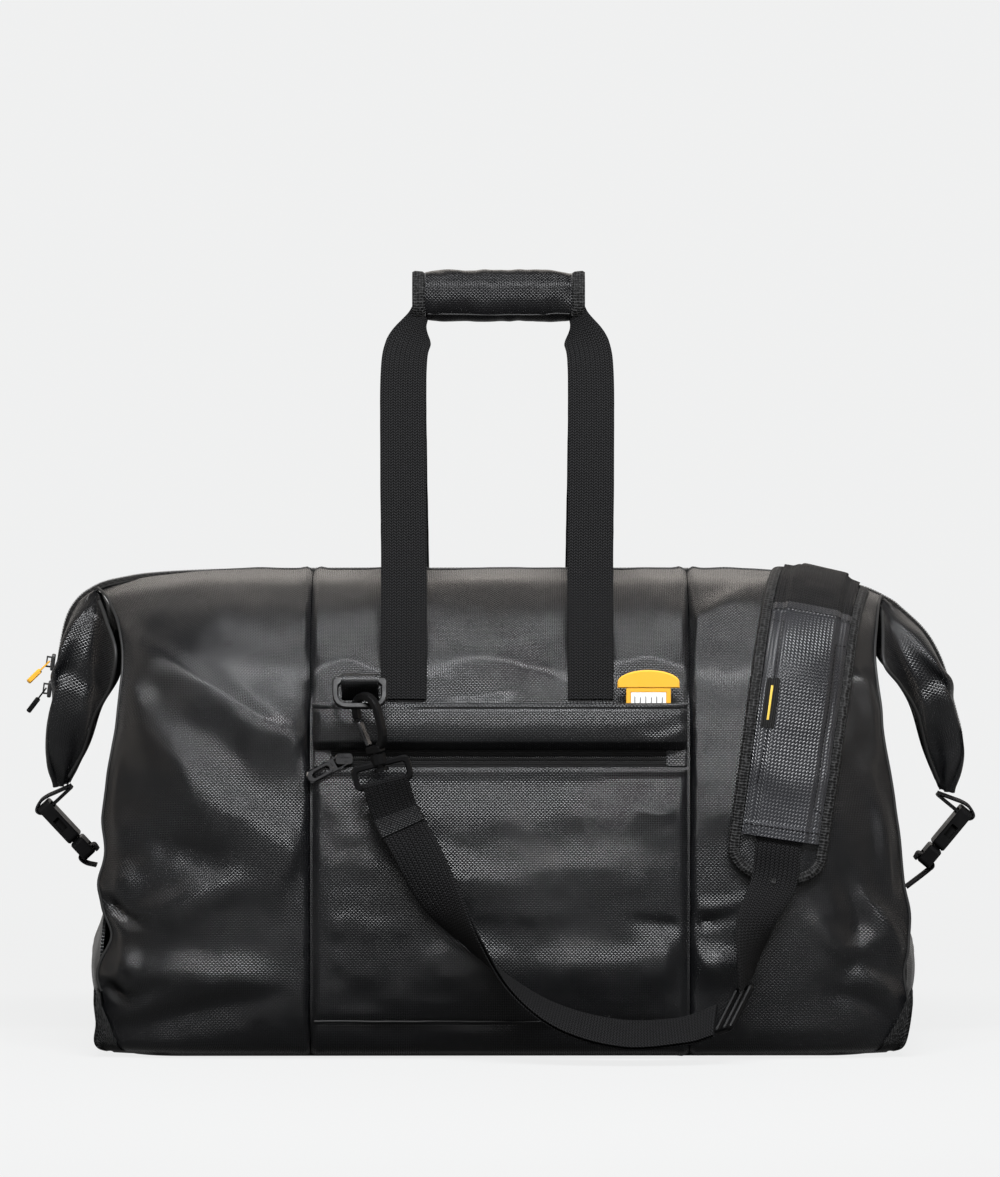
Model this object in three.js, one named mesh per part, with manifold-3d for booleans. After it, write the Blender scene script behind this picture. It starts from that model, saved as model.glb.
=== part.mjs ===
// Weekender bag in coated tarpaulin: three front and three back panels, tucked end panels, a long top zip whose
// ends fold down as wings, a front zip pocket, webbing handles and a padded shoulder strap on swivel hooks.
// Millimetres, +Z up, -Y is the front. The origin is the centre of the base's underside.
import * as THREE from "three";
import { mergeVertices } from "three/addons/utils/BufferGeometryUtils.js";
import Module from "manifold-3d";

const wasm = await Module();
wasm.setup();
const bag = new THREE.Group();
const { PI, abs, cos, hypot, max, min, sign, sin } = Math;
const V = (x, y, z) => new THREE.Vector3(x, y, z);
const lerp = THREE.MathUtils.lerp;
const deg = THREE.MathUtils.degToRad;

// ---- driving dimensions ----
const SKIN = 2.2; // tarpaulin with its lining and seam allowance
const GAP = 0.4; // between pieces that are sewn or lie together
const SEAM_X = 132; // the two upright seams of the front and the back
const WEB = 32; // width of handle and strap webbing
const WEB_T = 1.6;
const POCKET = { hem: 249, bandFoot: 216, zipFoot: 204, seam: 26, halfWidth: 130, bandBack: 142 };
const ZIP_HALF = 13.2; // half the width of the main zip
const LEG_X = { left: -67, right: 63 }; // handle legs
const GRIP = { x: -1, z: 527, length: 122, height: 35, depth: 27 };
const PAD = { width: 70, foam: 7, from: 0.155, to: 0.475 };
const RING = { x: -97, y: -153, z: 265, halfWidth: 19, drop: 21, bar: 4.2, thick: 3.6, tilt: -27 };
const HOOK = { x: -84, y: -161.6, z: 212, lean: -14, turn: -48 };
const BUCKLE = { width: 32, thick: 10 };
const BUCKLE_AT = { left: { x: -324, z: 168.5, slope: 47 }, right: { x: 331, z: 164.5, slope: 50.5 } };
const SLIDERS = { upper: 268, lower: 249 }; // heights of the two main zip sliders on the left wing

// ---- materials ----
const finish = (color, roughness, metalness = 0) => new THREE.MeshStandardMaterial({ color, roughness, metalness });
const tarp = finish(0x222325, 0.42);
const base = finish(0x151515, 0.7);
const lining = finish(0x2a2a2c, 0.9);
const webbing = finish(0x131313, 0.85);
const mesh = finish(0x101010, 0.95);
const zipper = finish(0x0e0e0f, 0.8);
const plastic = finish(0x161617, 0.45);
const steel = finish(0x3a3a3c, 0.25, 0.9);
const yellow = finish(0xe8ab2c, 0.4);
const card = finish(0xf2f2ee, 0.6);
const foam = finish(0x1a1a1b, 0.8);

// ---- geometry helpers ----
function add(name, geometry, material, parent = bag) {
  const piece = new THREE.Mesh(geometry, material);
  piece.name = name;
  parent.add(piece);
  return piece;
}

// A closed plate: surface(u, v) is its outer face, and depth its thickness behind that face.
function slab(surface, nu, nv, depth = SKIN) {
  const thickness = typeof depth === "function" ? depth : () => depth;
  const step = 1e-3;
  const outer = [];
  const inner = [];
  for (let i = 0; i <= nu; i++)
    for (let j = 0; j <= nv; j++) {
      const [u, v] = [i / nu, j / nv];
      const p = surface(u, v);
      const du = surface(min(1, u + step), v).sub(surface(max(0, u - step), v));
      const dv = surface(u, min(1, v + step)).sub(surface(u, max(0, v - step)));
      outer.push(p);
      inner.push(p.clone().addScaledVector(du.cross(dv).normalize(), -thickness(u, v)));
    }
  return closed(outer, inner, nu, nv);
}

// The closed body between two grids of (nu + 1) by (nv + 1) points.
function closed(outer, inner, nu, nv) {
  const points = [...outer, ...inner];
  const shift = outer.length;
  const at = (i, j) => i * (nv + 1) + j;
  const index = [];
  const quad = (a, b, c, d) => index.push(a, b, c, a, c, d);
  for (let i = 0; i < nu; i++)
    for (let j = 0; j < nv; j++) {
      quad(at(i, j), at(i + 1, j), at(i + 1, j + 1), at(i, j + 1));
      quad(shift + at(i, j), shift + at(i, j + 1), shift + at(i + 1, j + 1), shift + at(i + 1, j));
    }
  const rim = [];
  for (let i = 0; i < nu; i++) rim.push(at(i, 0));
  for (let j = 0; j < nv; j++) rim.push(at(nu, j));
  for (let i = nu; i > 0; i--) rim.push(at(i, nv));
  for (let j = nv; j > 0; j--) rim.push(at(0, j));
  rim.forEach((a, k) => {
    const b = rim[(k + 1) % rim.length];
    quad(b, a, shift + a, shift + b);
  });
  const geometry = new THREE.BufferGeometry().setFromPoints(points);
  geometry.setIndex(volume(points, index) < 0 ? index.reverse() : index);
  return geometry;
}

function volume(points, index) {
  let total = 0;
  for (let k = 0; k < index.length; k += 3)
    total += points[index[k]].dot(points[index[k + 1]].clone().cross(points[index[k + 2]]));
  return total / 6;
}

// A flat strap along stations of [point, width direction], its thickness centred on the points.
function ribbon(stations, width, thickness, steps, narrowed = () => 1) {
  const path = new THREE.CatmullRomCurve3(stations.map(([p]) => p), false, "catmullrom", 0.5);
  const ways = new THREE.CatmullRomCurve3(stations.map(([, w]) => w.clone().normalize()), false, "catmullrom", 0.5);
  const across = (u, v) => path.getPoint(v).addScaledVector(ways.getPoint(v).normalize(), (u - 0.5) * width * narrowed(v));
  const centred = (u, v) => {
    const along = path.getTangent(v);
    const normal = ways.getPoint(v).normalize().cross(along).normalize();
    return across(u, v).addScaledVector(normal, thickness / 2);
  };
  return slab(centred, 1, steps, thickness);
}

const solid = (geometry) => {
  const bare = geometry.clone();
  bare.deleteAttribute("normal");
  bare.deleteAttribute("uv");
  const merged = mergeVertices(bare, 1e-3);
  return new wasm.Manifold(
    new wasm.Mesh({
      numProp: 3,
      vertProperties: merged.attributes.position.array,
      triVerts: new Uint32Array(merged.index.array),
    }),
  );
};

function fromSolid(made) {
  const data = made.getMesh();
  const geometry = new THREE.BufferGeometry();
  geometry.setAttribute("position", new THREE.BufferAttribute(new Float32Array(data.vertProperties), 3));
  geometry.setIndex(new THREE.BufferAttribute(new Uint32Array(data.triVerts), 1));
  return geometry;
}
const join = (...all) => fromSolid(all.map(solid).reduce((a, b) => a.add(b)));
const cut = (body, ...tools) => fromSolid(tools.map(solid).reduce((a, b) => a.subtract(b), solid(body)));
const block = (x0, x1, y0, y1, z0, z1) =>
  new THREE.BoxGeometry(x1 - x0, y1 - y0, z1 - z0).translate((x0 + x1) / 2, (y0 + y1) / 2, (z0 + z1) / 2);
// A cylinder along Z between two heights.
const post = (r, z0, z1, sides = 10) =>
  new THREE.CylinderGeometry(r, r, z1 - z0, sides).rotateX(PI / 2).translate(0, 0, (z0 + z1) / 2);

function roundedRect(w, h, r, shape = new THREE.Shape()) {
  const [x, y] = [-w / 2, -h / 2];
  shape.moveTo(x + r, y).lineTo(x + w - r, y).absarc(x + w - r, y + r, r, -PI / 2, 0, false);
  shape.lineTo(x + w, y + h - r).absarc(x + w - r, y + h - r, r, 0, PI / 2, false);
  shape.lineTo(x + r, y + h).absarc(x + r, y + h - r, r, PI / 2, PI, false);
  return shape.lineTo(x, y + r).absarc(x + r, y + r, r, PI, 1.5 * PI, false);
}
// A plate with a bevelled edge, in the XZ plane, its thickness centred on Y.
function plate(shape, thick, bevel = 0.6, segments = 2) {
  const options = { depth: thick - 2 * bevel, bevelThickness: bevel, bevelSize: bevel, bevelOffset: -bevel };
  return new THREE.ExtrudeGeometry(shape, { ...options, bevelSegments: 1, curveSegments: segments })
    .rotateX(PI / 2)
    .translate(0, thick / 2 - bevel, 0);
}

// ---- the bag's skin ----
// Rows run from the foot of the front up to the zip: [y, z] at the middle, then [x, y, z] at the bag's end.
const ROWS = [
  [119, 1.5, 270, 100, 1.5],
  [132, 12, 281, 114, 12],
  [139, 60, 286, 116, 60],
  [141, 120, 281, 112, 120],
  [139, 180, 275, 107, 180],
  [133, 232, 266, 98, 232],
  [117, 274, 263, 82, 272],
  [88, 304.5, 267, 62, 297],
  [52, 324.5, 275, 36, 313],
  [14, 333.5, 284, 9, 320.5],
];
const RIDGE = [0, 334.5, 285, 0, 321.5];
// The right shoulder slopes more: [x, y, z] of its last rows, up to the ridge.
const RIGHT_SHOULDER = [[262.5, 82, 271], [264, 59.5, 295], [266, 34, 307.5], [269, 9, 314], [270, 0, 315]];
const mirrored = ROWS.map(([y, z, x, yEnd, zEnd]) => [-y, z, x, -yEnd, zEnd]).reverse();
const ALL_ROWS = [...ROWS, RIDGE, ...mirrored];
const curveOf = (points) => new THREE.CatmullRomCurve3(points, false, "catmullrom", 0.5);
const MIDDLE = curveOf(ALL_ROWS.map(([y, z]) => V(0, -y, z)));
const endRow = ([, , x, y, z], k, side) => {
  const last = RIGHT_SHOULDER.length - 1;
  const step = last - abs(k - ROWS.length);
  if (side < 0 || step < 0) return V(x, -y, z);
  const [xr, yr, zr] = RIGHT_SHOULDER[step];
  return V(xr, k > ROWS.length ? yr : -yr, zr);
};
const ENDS = [-1, 1].map((side) => curveOf(ALL_ROWS.map((row, k) => endRow(row, k, side))));
const endOf = (side) => ENDS[side < 0 ? 0 : 1];
const ZIP_T = ROWS.length / (ALL_ROWS.length - 1) - 0.05; // where the front panels meet the zip

// A point of the skin at t along its section and u from an upright seam (0) to the end (1), on one side.
function skinAt(t, u, side) {
  const [m, e] = [MIDDLE.getPoint(t), endOf(side).getPoint(t)];
  return V(side * lerp(SEAM_X, e.x, u), lerp(m.y, e.y, u ** 4), lerp(m.z, e.z, u ** 3));
}

// The skin at x and at a share of the section's length, from the front's foot over the ridge to the back's foot.
function skin(x, share, off = 0) {
  const at = (xx, q) => {
    const t = MIDDLE.getUtoTmapping(min(1, max(0, q)));
    const u = min(1, max(0, (abs(xx) - SEAM_X) / (endOf(xx).getPoint(t).x - SEAM_X)));
    return skinAt(t, u, sign(xx) || 1).setX(xx);
  };
  if (!off) return at(x, share);
  const along = at(x, share + 2e-3).sub(at(x, share - 2e-3));
  const across = at(x + 1, share).sub(at(x - 1, share));
  return at(x, share).addScaledVector(across.cross(along).normalize(), off);
}

// Half the bag's depth at a height, at the middle of its length.
function depthAt(z) {
  let [low, high] = [0, ZIP_T];
  for (let k = 0; k < 30; k++) {
    const t = (low + high) / 2;
    if (MIDDLE.getPoint(t).z < z) low = t;
    else high = t;
  }
  return -MIDDLE.getPoint(low).y;
}

function panels() {
  for (const [face, from, to] of [["front", 0, ZIP_T], ["back", 1, 1 - ZIP_T]]) {
    for (const [end, side] of [["left", -1], ["right", 1]]) {
      const start = GAP / 2 / (286 - SEAM_X);
      const piece = (u, v) => skinAt(lerp(from, to, v), lerp(start, 1, u), side);
      const outward = (face === "front") === (side > 0) ? piece : (u, v) => piece(1 - u, v);
      add(`${face}_${end}_panel`, slab(outward, 5, 15), tarp);
    }
    const half = SEAM_X - GAP / 2;
    const middle = (u, v) => MIDDLE.getPoint(lerp(from, to, v)).setX(lerp(-half, half, face === "front" ? u : 1 - u));
    add(`${face}_centre_panel`, slab(middle, 2, 18), tarp);
  }
}

// The ends are narrower than the front and back, full at the foot and tucked in under the wings.
function ends() {
  const fullness = [2, 5, 7, -2, -12, -20, -30, -42];
  const bulge = curveOf(fullness.map((b, i) => V(b, 0, i)));

  for (const [name, side] of [["left", -1], ["right", 1]]) {
    const face = (u, v) => {
      const e = endOf(side).getPoint((v * 7) / 20);
      const w = 2 * u - 1;
      const x = e.x - SKIN + bulge.getPoint(v).x * (1 - w ** 4);
      return V(side * x, -side * w * (e.y + (side < 0 ? 5 : 6.5)), max(e.z, 2.6));
    };
    add(`${name}_end_panel`, slab((u, v) => face(u, v), 8, 9), tarp);
  }
}

function floor() {
  const sole = roundedRect(2 * 266, 2 * 112, 40);
  const flat = (w, z0, z1) =>
    new THREE.ExtrudeGeometry(w, { depth: z1 - z0, bevelEnabled: false, curveSegments: 4 }).translate(0, 0, z0);
  add("base_panel", flat(sole, 0, 2), base);
  add("base_board", flat(roundedRect(2 * 246, 2 * 98, 24), 2.6, 5.6), lining);
  // The lining hangs inside as one trough, from zip edge to zip edge.
  const drops = [...Array(12).keys()].map((k) => lerp(0.4, 0.035, k / 11));
  const trough = (x) => {
    const front = drops.map((q) => skin(x, q, -SKIN - 2.5));
    const backs = front.map((p) => V(x, -p.y, p.z)).reverse();
    const foot = [V(x, -112, 11), V(x, -90, 8.4), V(x, 0, 7.8), V(x, 90, 8.4), V(x, 112, 11)];
    return new THREE.CatmullRomCurve3([...front, ...foot, ...backs], false, "centripetal");
  };
  const walls = [...Array(5).keys()].map((k) => trough(lerp(232, -232, k / 4)));
  const hanging = (u, v) => {
    const k = min(3, Math.floor(u * 4));
    return walls[k].getPoint(v).lerp(walls[k + 1].getPoint(v), u * 4 - k);
  };
  add("lining", slab(hanging, 4, 22, 1), lining);
}

// Reinforced corners at the foot of the bag.
function corners() {
  for (const [fore, face] of [["front", -1], ["back", 1]])
    for (const [name, side] of [["left", -1], ["right", 1]]) {
      const points = (off) => {
        const grid = [];
        for (const u of [0.91, 0.94, 0.97, 1, 1.1, 1.2, 1.3])
          for (const v of [0, 0.25, 0.5, 0.75, 1]) {
            const t = lerp(0.012, u < 1 ? lerp(0.05, 0.088, (u - 0.91) / 0.09) : 0.088, v);
            const e = endOf(-1).getPoint(t);
            const p = skinAt(t, min(1, u), -1);
            p.x = -p.x;
            const round = u <= 1 ? V(p.x + off * 0.4, -p.y + off * 0.92, e.z) : null;
            const flat = V(e.x + off + 0.8, -e.y + off * 0.3 - (u - 1.1) * 80, e.z);
            grid.push((round || flat).multiply(V(side, face, 1)));
          }
        return grid;
      };
      add(`${fore}_${name}_corner`, closed(points(2), points(0.9), 6, 4), mesh);
    }
}

// ---- wings: the ends of the top, folded down outside the bag ----
// From the top corner to the tip: ridge [x, z], fullest [x, y, z], hollow [x, y, z], edge on the bag [x, y, z].
const WINGS = {
  left: [
    [[287.5, 321], [285, 13, 319.5], [284, 17, 317.5], [284, 22, 316]],
    [[298.5, 312], [294.5, 28, 307], [284, 32, 303.5], [277, 48, 301]],
    [[306, 298], [306, 36, 291], [286, 38, 284], [269.5, 70, 280]],
    [[311, 273], [314, 37, 266], [289, 38, 258], [273, 66, 256]],
    [[314.5, 246], [317.5, 32, 240], [294, 32, 235], [284.5, 48, 235]],
    [[319.5, 212], [320, 23, 209], [302, 20, 207], [293.5, 27, 208]],
    [[317, 181], [312, 12, 181], [309, 10, 182], [307, 12, 184]],
  ],
  right: [
    [[272.5, 314.5], [270.5, 13, 313], [269.5, 17, 311], [269.5, 22, 309.5]],
    [[286, 303.5], [282, 28, 298.5], [275, 32, 295.5], [269.5, 48, 293]],
    [[301, 288.5], [300, 36, 281], [282, 38, 275], [269.5, 70, 272]],
    [[312, 268], [314.5, 37, 261], [294, 38, 253], [281, 62, 256]],
    [[319, 243], [322, 32, 237], [303, 32, 232], [293, 46, 236]],
    [[326.5, 210], [327.5, 23, 207], [312, 20, 205], [302, 27, 205]],
    [[322.5, 177], [317.5, 12, 177], [314.5, 10, 178], [312, 12, 180]],
  ],
};
const ridgeOf = (name) => curveOf(WINGS[name].map(([[x, z]]) => V(x, 0, z)));

function wings() {
  const section = (name, v) => {
    const rails = [1, 2, 3].map((k) => curveOf(WINGS[name].map((row) => V(...row[k]))));
    const [full, hollow, edge] = rails.map((rail) => rail.getPoint(v));
    const ridge = ridgeOf(name).getPoint(v);
    const near = V(ridge.x - 1, min(ZIP_HALF, full.y * 0.75), ridge.z);
    const half = [near, full, hollow, edge];
    const other = half.map((p) => p.clone().setY(-p.y)).reverse();
    return curveOf([...other, ridge, ...half]);
  };
  const count = 9;
  for (const [name, side] of [["left", -1], ["right", 1]]) {
    const sections = [...Array(count + 1).keys()].map((k) => section(name, k / count));
    const face = (u, v) => {
      const k = min(count - 1, Math.floor(v * count));
      return sections[k].getPoint(u).lerp(sections[k + 1].getPoint(u), v * count - k);
    };
    add(`${name}_wing`, slab((u, v) => face(side > 0 ? 1 - u : u, v).multiply(V(side, 1, 1)), 12, count, 1.8), tarp);
  }
}

// ---- main zip, from wing tip to wing tip ----
const ZIP_TOP = {
  left: [[281, 327.2], [266, 330.6], [246, 333.4], [205, 335.6], [140, 336.6], [70, 336.8]],
  right: [[266, 321.2], [252, 326.2], [234, 330.4], [205, 334.3], [140, 336.6], [70, 336.8]],
};

function mainZip() {
  const off = 2.7;
  const half = (name) => {
    const ridge = ridgeOf(name);
    const down = [...Array(12).keys()].map((k) => lerp(0.86, 0.05, k / 11)).map((v) => {
      const way = ridge.getTangent(v);
      return ridge.getPoint(v).add(V(-way.z, 0, way.x).multiplyScalar(off));
    });
    return [...down, ...ZIP_TOP[name].map(([x, z]) => V(x, 0, z))];
  };
  const all = [...half("left").map((p) => V(-p.x, 0, p.z)), V(0, 0, 336.8), ...half("right").reverse()];
  add("main_zip", ribbon(all.map((p) => [p, V(0, 1, 0)]), 2 * ZIP_HALF, 1, 56), zipper);
}

// ---- front pocket ----
const onFront = (x, z, off) => V(x, -(depthAt(z) + off), z);

function pocket() {
  const { hem, bandFoot, zipFoot, seam, halfWidth, bandBack } = POCKET;
  const half = halfWidth;
  // The slip pocket's band is flat behind, and stands away from the bag above its foot.
  const puffed = (u, v) => 3 + 4 * sin(PI * v) ** 0.7 * (1 - (2 * u - 1) ** 8);
  const bandInner = (z) => lerp(depthAt(z) + GAP + 0.2, bandBack, min(1, max(0, (z - bandFoot) / 6)));
  const [nu, nv] = [8, 7];
  const [outer, inner] = [[], []];
  for (let i = 0; i <= nu; i++)
    for (let j = 0; j <= nv; j++) {
      const [x, z] = [lerp(-half, half, i / nu), lerp(bandFoot + GAP, hem, j / nv)];
      inner.push(V(x, -bandInner(z), z));
      outer.push(V(x, -(bandInner(z) + puffed(i / nu, j / nv)), z));
    }
  add("pocket_band", closed(outer, inner, nu, nv), tarp);
  const lower = (u, v) => onFront(lerp(-half, half, u), lerp(seam, zipFoot, v), GAP + 2.6 + bulge(u, v));
  const bulge = (u, v) => 4 * (sin(PI * u) * sin(PI * v)) ** 0.5;
  add("pocket_panel", slab(lower, 8, 9, (u, v) => 2.4 + bulge(u, v)), tarp);
  const strip = (u, v) => onFront(lerp(-half, half, u), lerp(zipFoot + GAP, bandFoot - 0.1, v), GAP + 1.6);
  add("pocket_zip", slab(strip, 1, 2, 1.2), zipper);
}

// A zip slider in its own frame: it travels along X, and its bridge stands on +Z, open along Y.
const SLIDER = { length: 12, width: 8, height: 2.6, eye: 4.1 };
function sliderBody() {
  const { length, width, height, eye } = SLIDER;
  const body = plate(roundedRect(length, width, 2.2), height, 0.5, 2).rotateX(PI / 2).translate(0, 0, height / 2);
  const arch = cut(block(-4, 4, -0.8, 0.8, height - 0.5, eye + 2.1), block(-2.8, 2.8, -2, 2, height + 0.4, eye + 1.1));
  return join(body, arch);
}

// A pull in its own frame: its end bar lies on the Y axis under the bridge, and it points to -X.
function zipPull(length, width, thick, grip) {
  const bar = 0.6;
  const outline = roundedRect(length, width, 1.2);
  const slot = 6.2;
  const eye = roundedRect(slot, width - 2.2, 0.6, new THREE.Path());
  const moved = eye.getPoints(1).map((p) => new THREE.Vector2(p.x + length / 2 - slot / 2 - 2 * bar, p.y));
  outline.holes.push(new THREE.Path(moved));
  const tab = plate(outline, 2 * bar, 0.2, 1).rotateX(PI / 2).translate(bar - length / 2, 0, 0);
  const end = plate(roundedRect(grip, width, width / 2 - 0.6), thick, 0.7, 2).rotateX(PI / 2);
  return join(tab, end.translate(bar - length + grip / 2 - 0.5, 0, 0));
}

const SLIDER_X = -108; // the pocket slider at the closed end of its zip
function pocketSlider() {
  const z = (POCKET.bandFoot + POCKET.zipFoot) / 2;
  const group = new THREE.Group();
  group.position.copy(onFront(SLIDER_X, z, GAP + 1.6 + GAP));
  group.rotation.x = PI / 2;
  bag.add(group);
  add("pocket_slider", sliderBody(), steel, group);
  const pull = new THREE.Group();
  pull.position.set(0, 0, SLIDER.eye);
  pull.rotation.z = deg(28);
  group.add(pull);
  const loop = roundedRect(13.5, 4.6, 2.2);
  const hole = new THREE.ExtrudeGeometry(loop, { depth: 8, bevelEnabled: false, curveSegments: 3 });
  add("pocket_pull", cut(zipPull(29, 9, 2.2, 20), hole.translate(-18.4, 0, -4)), steel, pull);
}

// The two main sliders sit on the left wing's ridge; each has a moulded cord pull.
const zipCurve = curveOf(WINGS.left.map(([[x, z]]) => V(-x, 0, z)));
function onWing(z, off) {
  let [low, high] = [0, 1];
  for (let k = 0; k < 30; k++) {
    const t = (low + high) / 2;
    if (zipCurve.getPoint(t).z > z) low = t;
    else high = t;
  }
  const tangent = zipCurve.getTangent(low);
  const out = V(tangent.z, 0, -tangent.x).normalize();
  return { point: zipCurve.getPoint(low).addScaledVector(out, off), out };
}

function mainSliders() {
  for (const [name, z, lean, material] of [["upper", SLIDERS.upper, 38, yellow], ["lower", SLIDERS.lower, 30, webbing]]) {
    const { point, out } = onWing(z, 2.7 + 0.5 + GAP);
    const group = new THREE.Group();
    group.position.copy(point);
    group.rotation.y = Math.atan2(out.x, out.z);
    bag.add(group);
    add(`${name}_slider`, sliderBody(), steel, group);
    const pull = new THREE.Group();
    pull.position.set(0, 0, SLIDER.eye);
    pull.rotation.y = deg(lean);
    group.add(pull);
    add(`${name}_pull`, zipPull(21, 6.6, 3.6, 12.5), material, pull);
  }
}

// ---- handles ----
function handles() {
  const top = GRIP.z - GRIP.height / 2 - 1.8;
  for (const [face, way] of [["front", -1], ["back", 1]])
    for (const [name, x] of Object.entries(LEG_X)) {
      const inward = sign(GRIP.x - x);
      const end = GRIP.x - inward * (GRIP.length / 2 + 2.6);
      const foot = way * (depthAt(POCKET.hem) + 1.6);
      const stations = [
        [V(x, foot, POCKET.hem + 2), V(1, 0, 0)],
        [V(x, way * 116, 290), V(1, 0, 0)],
        [V(x, way * 95, 338), V(1, 0, 0)],
        [V(x - inward * 1, way * 62, 410), V(1, 0, 0)],
        [V(x - inward * 1, way * 28, 476), V(1, 0, 0)],
        [V(lerp(x, end, 0.5), way * 14, 496.5), V(0.88, way * 0.2, inward * -0.42)],
        [V(end, way * 10, top), V(0.62, way * 0.25, inward * -0.72)],
      ];
      const narrowed = (v) => 1 - 0.45 * max(0, (v - 0.86) / 0.14); // gathered into the end of the grip
      add(`${face}_${name}_leg`, ribbon(stations, WEB, WEB_T, 21, narrowed), webbing);
    }
  const { x, z, length, height, depth } = GRIP;
  const ring = (k, r) => V(0, r * depth * 0.5 * cos(k), r * height * 0.5 * sin(k));
  const tube = (x0, x1, r) => {
    const outline = new THREE.Shape([...Array(14).keys()].map((k) => {
      const p = ring((k / 14) * 2 * PI, r);
      return new THREE.Vector2(p.y, p.z);
    }));
    return new THREE.ExtrudeGeometry(outline, { depth: x1 - x0, bevelEnabled: false })
      .rotateX(PI / 2)
      .rotateZ(PI / 2)
      .translate(x0, 0, 0);
  };
  const half = length / 2;
  const binding = 9;
  const group = new THREE.Group();
  group.position.set(x, 0, z);
  bag.add(group);
  add("grip_wrap", tube(-half + binding + GAP, half - binding - GAP, 1), tarp, group);
  add("grip_binding_left", tube(-half, -half + binding, 1.04), mesh, group);
  add("grip_binding_right", tube(half - binding, half, 1.04), mesh, group);
}

// ---- side-release buckles that hold the wings down ----
function buckleFemale() {
  const [w, t] = [BUCKLE.width, BUCKLE.thick];
  const shell = plate(roundedRect(34, w, 3), t, 1, 2).rotateX(PI / 2).translate(17, 0, 0);
  const slot = block(3, 7.4, -w / 2 + 3, w / 2 - 3, -t, t);
  const cavity = block(10.6, 40, -13.5, 13.5, -3.3, 3.3);
  const windows = block(14, 24, -w, w, -2.6, 2.6);
  return cut(shell, slot, cavity, windows);
}

function buckleMale() {
  const [w, t] = [BUCKLE.width, BUCKLE.thick];
  const stock = plate(roundedRect(15.4, w, 3), t, 1, 2).rotateX(PI / 2).translate(42.3, 0, 0);
  const tongue = block(15, 36, -2.5, 2.5, -2.4, 2.4);
  const arms = [1, -1].map((s) => {
    const outline = new THREE.Shape();
    outline.moveTo(36, s * 9).lineTo(36, s * 12.4).lineTo(27, s * 12.4).lineTo(24, s * 13.1);
    outline.lineTo(16, s * 13.1).lineTo(12.4, s * 10.4).lineTo(13, s * 8.6).lineTo(18, s * 9.6).closePath();
    return new THREE.ExtrudeGeometry(outline, { depth: 4.8, bevelEnabled: false }).translate(0, 0, -2.4);
  });
  return cut(join(stock, tongue, ...arms), block(42.4, 46.6, -w / 2 + 3, w / 2 - 3, -t, t));
}

function buckles() {
  for (const [name, side] of [["left", -1], ["right", 1]]) {
    const group = new THREE.Group();
    const { x, z, slope } = BUCKLE_AT[name];
    group.position.set(x, 0, z);
    group.rotation.y = side < 0 ? deg(slope) : deg(180 - slope);
    bag.add(group);
    add(`${name}_buckle_socket`, buckleFemale(), plastic, group);
    add(`${name}_buckle_prong`, buckleMale(), plastic, group);
    const reach = side < 0 ? 58 : 70;
    const loop = [[50.6, 6.2], [45.6, 6.4], [44.5, 0], [45.6, -6.4], [51.5, -6.2], [reach, -2]];
    const anchor = loop.map(([a, b]) => [V(a, 0, -side * b), V(0, 1, 0)]);
    add(`${name}_anchor_web`, ribbon(anchor, 24, 1.3, 16), webbing, group);
    const turns = [[3, 15.5], [-1, 8], [-2.2, 0], [0.4, -6], [4.4, -5], [5.2, 0], [5.4, 5], [4.8, 15]];
    const tether = turns.map(([a, b]) => V(a, 0, -side * b));
    add(`${name}_tether_web`, ribbon(tether.map((p) => [p, V(0, 1, 0)]), 24, 1.2, 20), webbing, group);
  }
}

// ---- rings and swivel hooks; the back has the front's set turned half a turn ----
function ringShape() {
  const { halfWidth: w, drop, bar } = RING;
  const outline = (dw, top, foot, r, shape) => {
    shape.moveTo(dw - 2, top).lineTo(-dw + 2, top).lineTo(-dw, top - 2).lineTo(-dw, foot + r);
    shape.absarc(-dw + r, foot + r, r, PI, 1.5 * PI, false).lineTo(dw - r, foot);
    return shape.absarc(dw - r, foot + r, r, -PI / 2, 0, false).lineTo(dw, top - 2).closePath();
  };
  const shape = outline(w, bar / 2, -drop, 10, new THREE.Shape());
  shape.holes.push(outline(w - bar, -bar / 2, -drop + bar, 6, new THREE.Path()));
  return plate(shape, RING.thick, 0.8, 2);
}

function hookShape() {
  const half = 2.75;
  const line = new THREE.CurvePath();
  const at = (x, y) => new THREE.Vector2(x, y);
  line.add(new THREE.QuadraticBezierCurve(at(1, 6), at(8.5, 8.5), at(11.2, 18)));
  line.add(new THREE.LineCurve(at(11.2, 18), at(11.2, 33)));
  line.add(new THREE.EllipseCurve(0, 33, 11.2, 11.2, 0, PI, false));
  line.add(new THREE.LineCurve(at(-11.2, 33), at(-11.2, 29.5)));
  const count = 20;
  const [left, right] = [[], []];
  for (let k = 0; k <= count; k++) {
    const [p, d] = [line.getPoint(k / count), line.getTangent(k / count)];
    left.push(at(p.x - d.y * half, p.y + d.x * half));
    right.push(at(p.x + d.y * half, p.y - d.x * half));
  }
  const hook = plate(new THREE.Shape([...right, ...left.reverse()]), 5, 0.8, 1);
  const shoulder = plate(roundedRect(15, 5.4, 1.6), 6, 0.8, 2).translate(-1, 0, 6.2);
  return join(hook, shoulder, post(3, -9.2, 5), post(5, -9.2, -7));
}

function frameShape() {
  const outline = roundedRect(42, 17.5, 4.5);
  outline.holes.push(roundedRect(33.5, 9, 2, new THREE.Path()));
  const frame = plate(outline, 5, 0.9, 2).translate(0, 0, -10.6);
  return cut(join(frame, post(5.6, -4, 2.8)), post(3.4, -7, 4));
}

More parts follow.
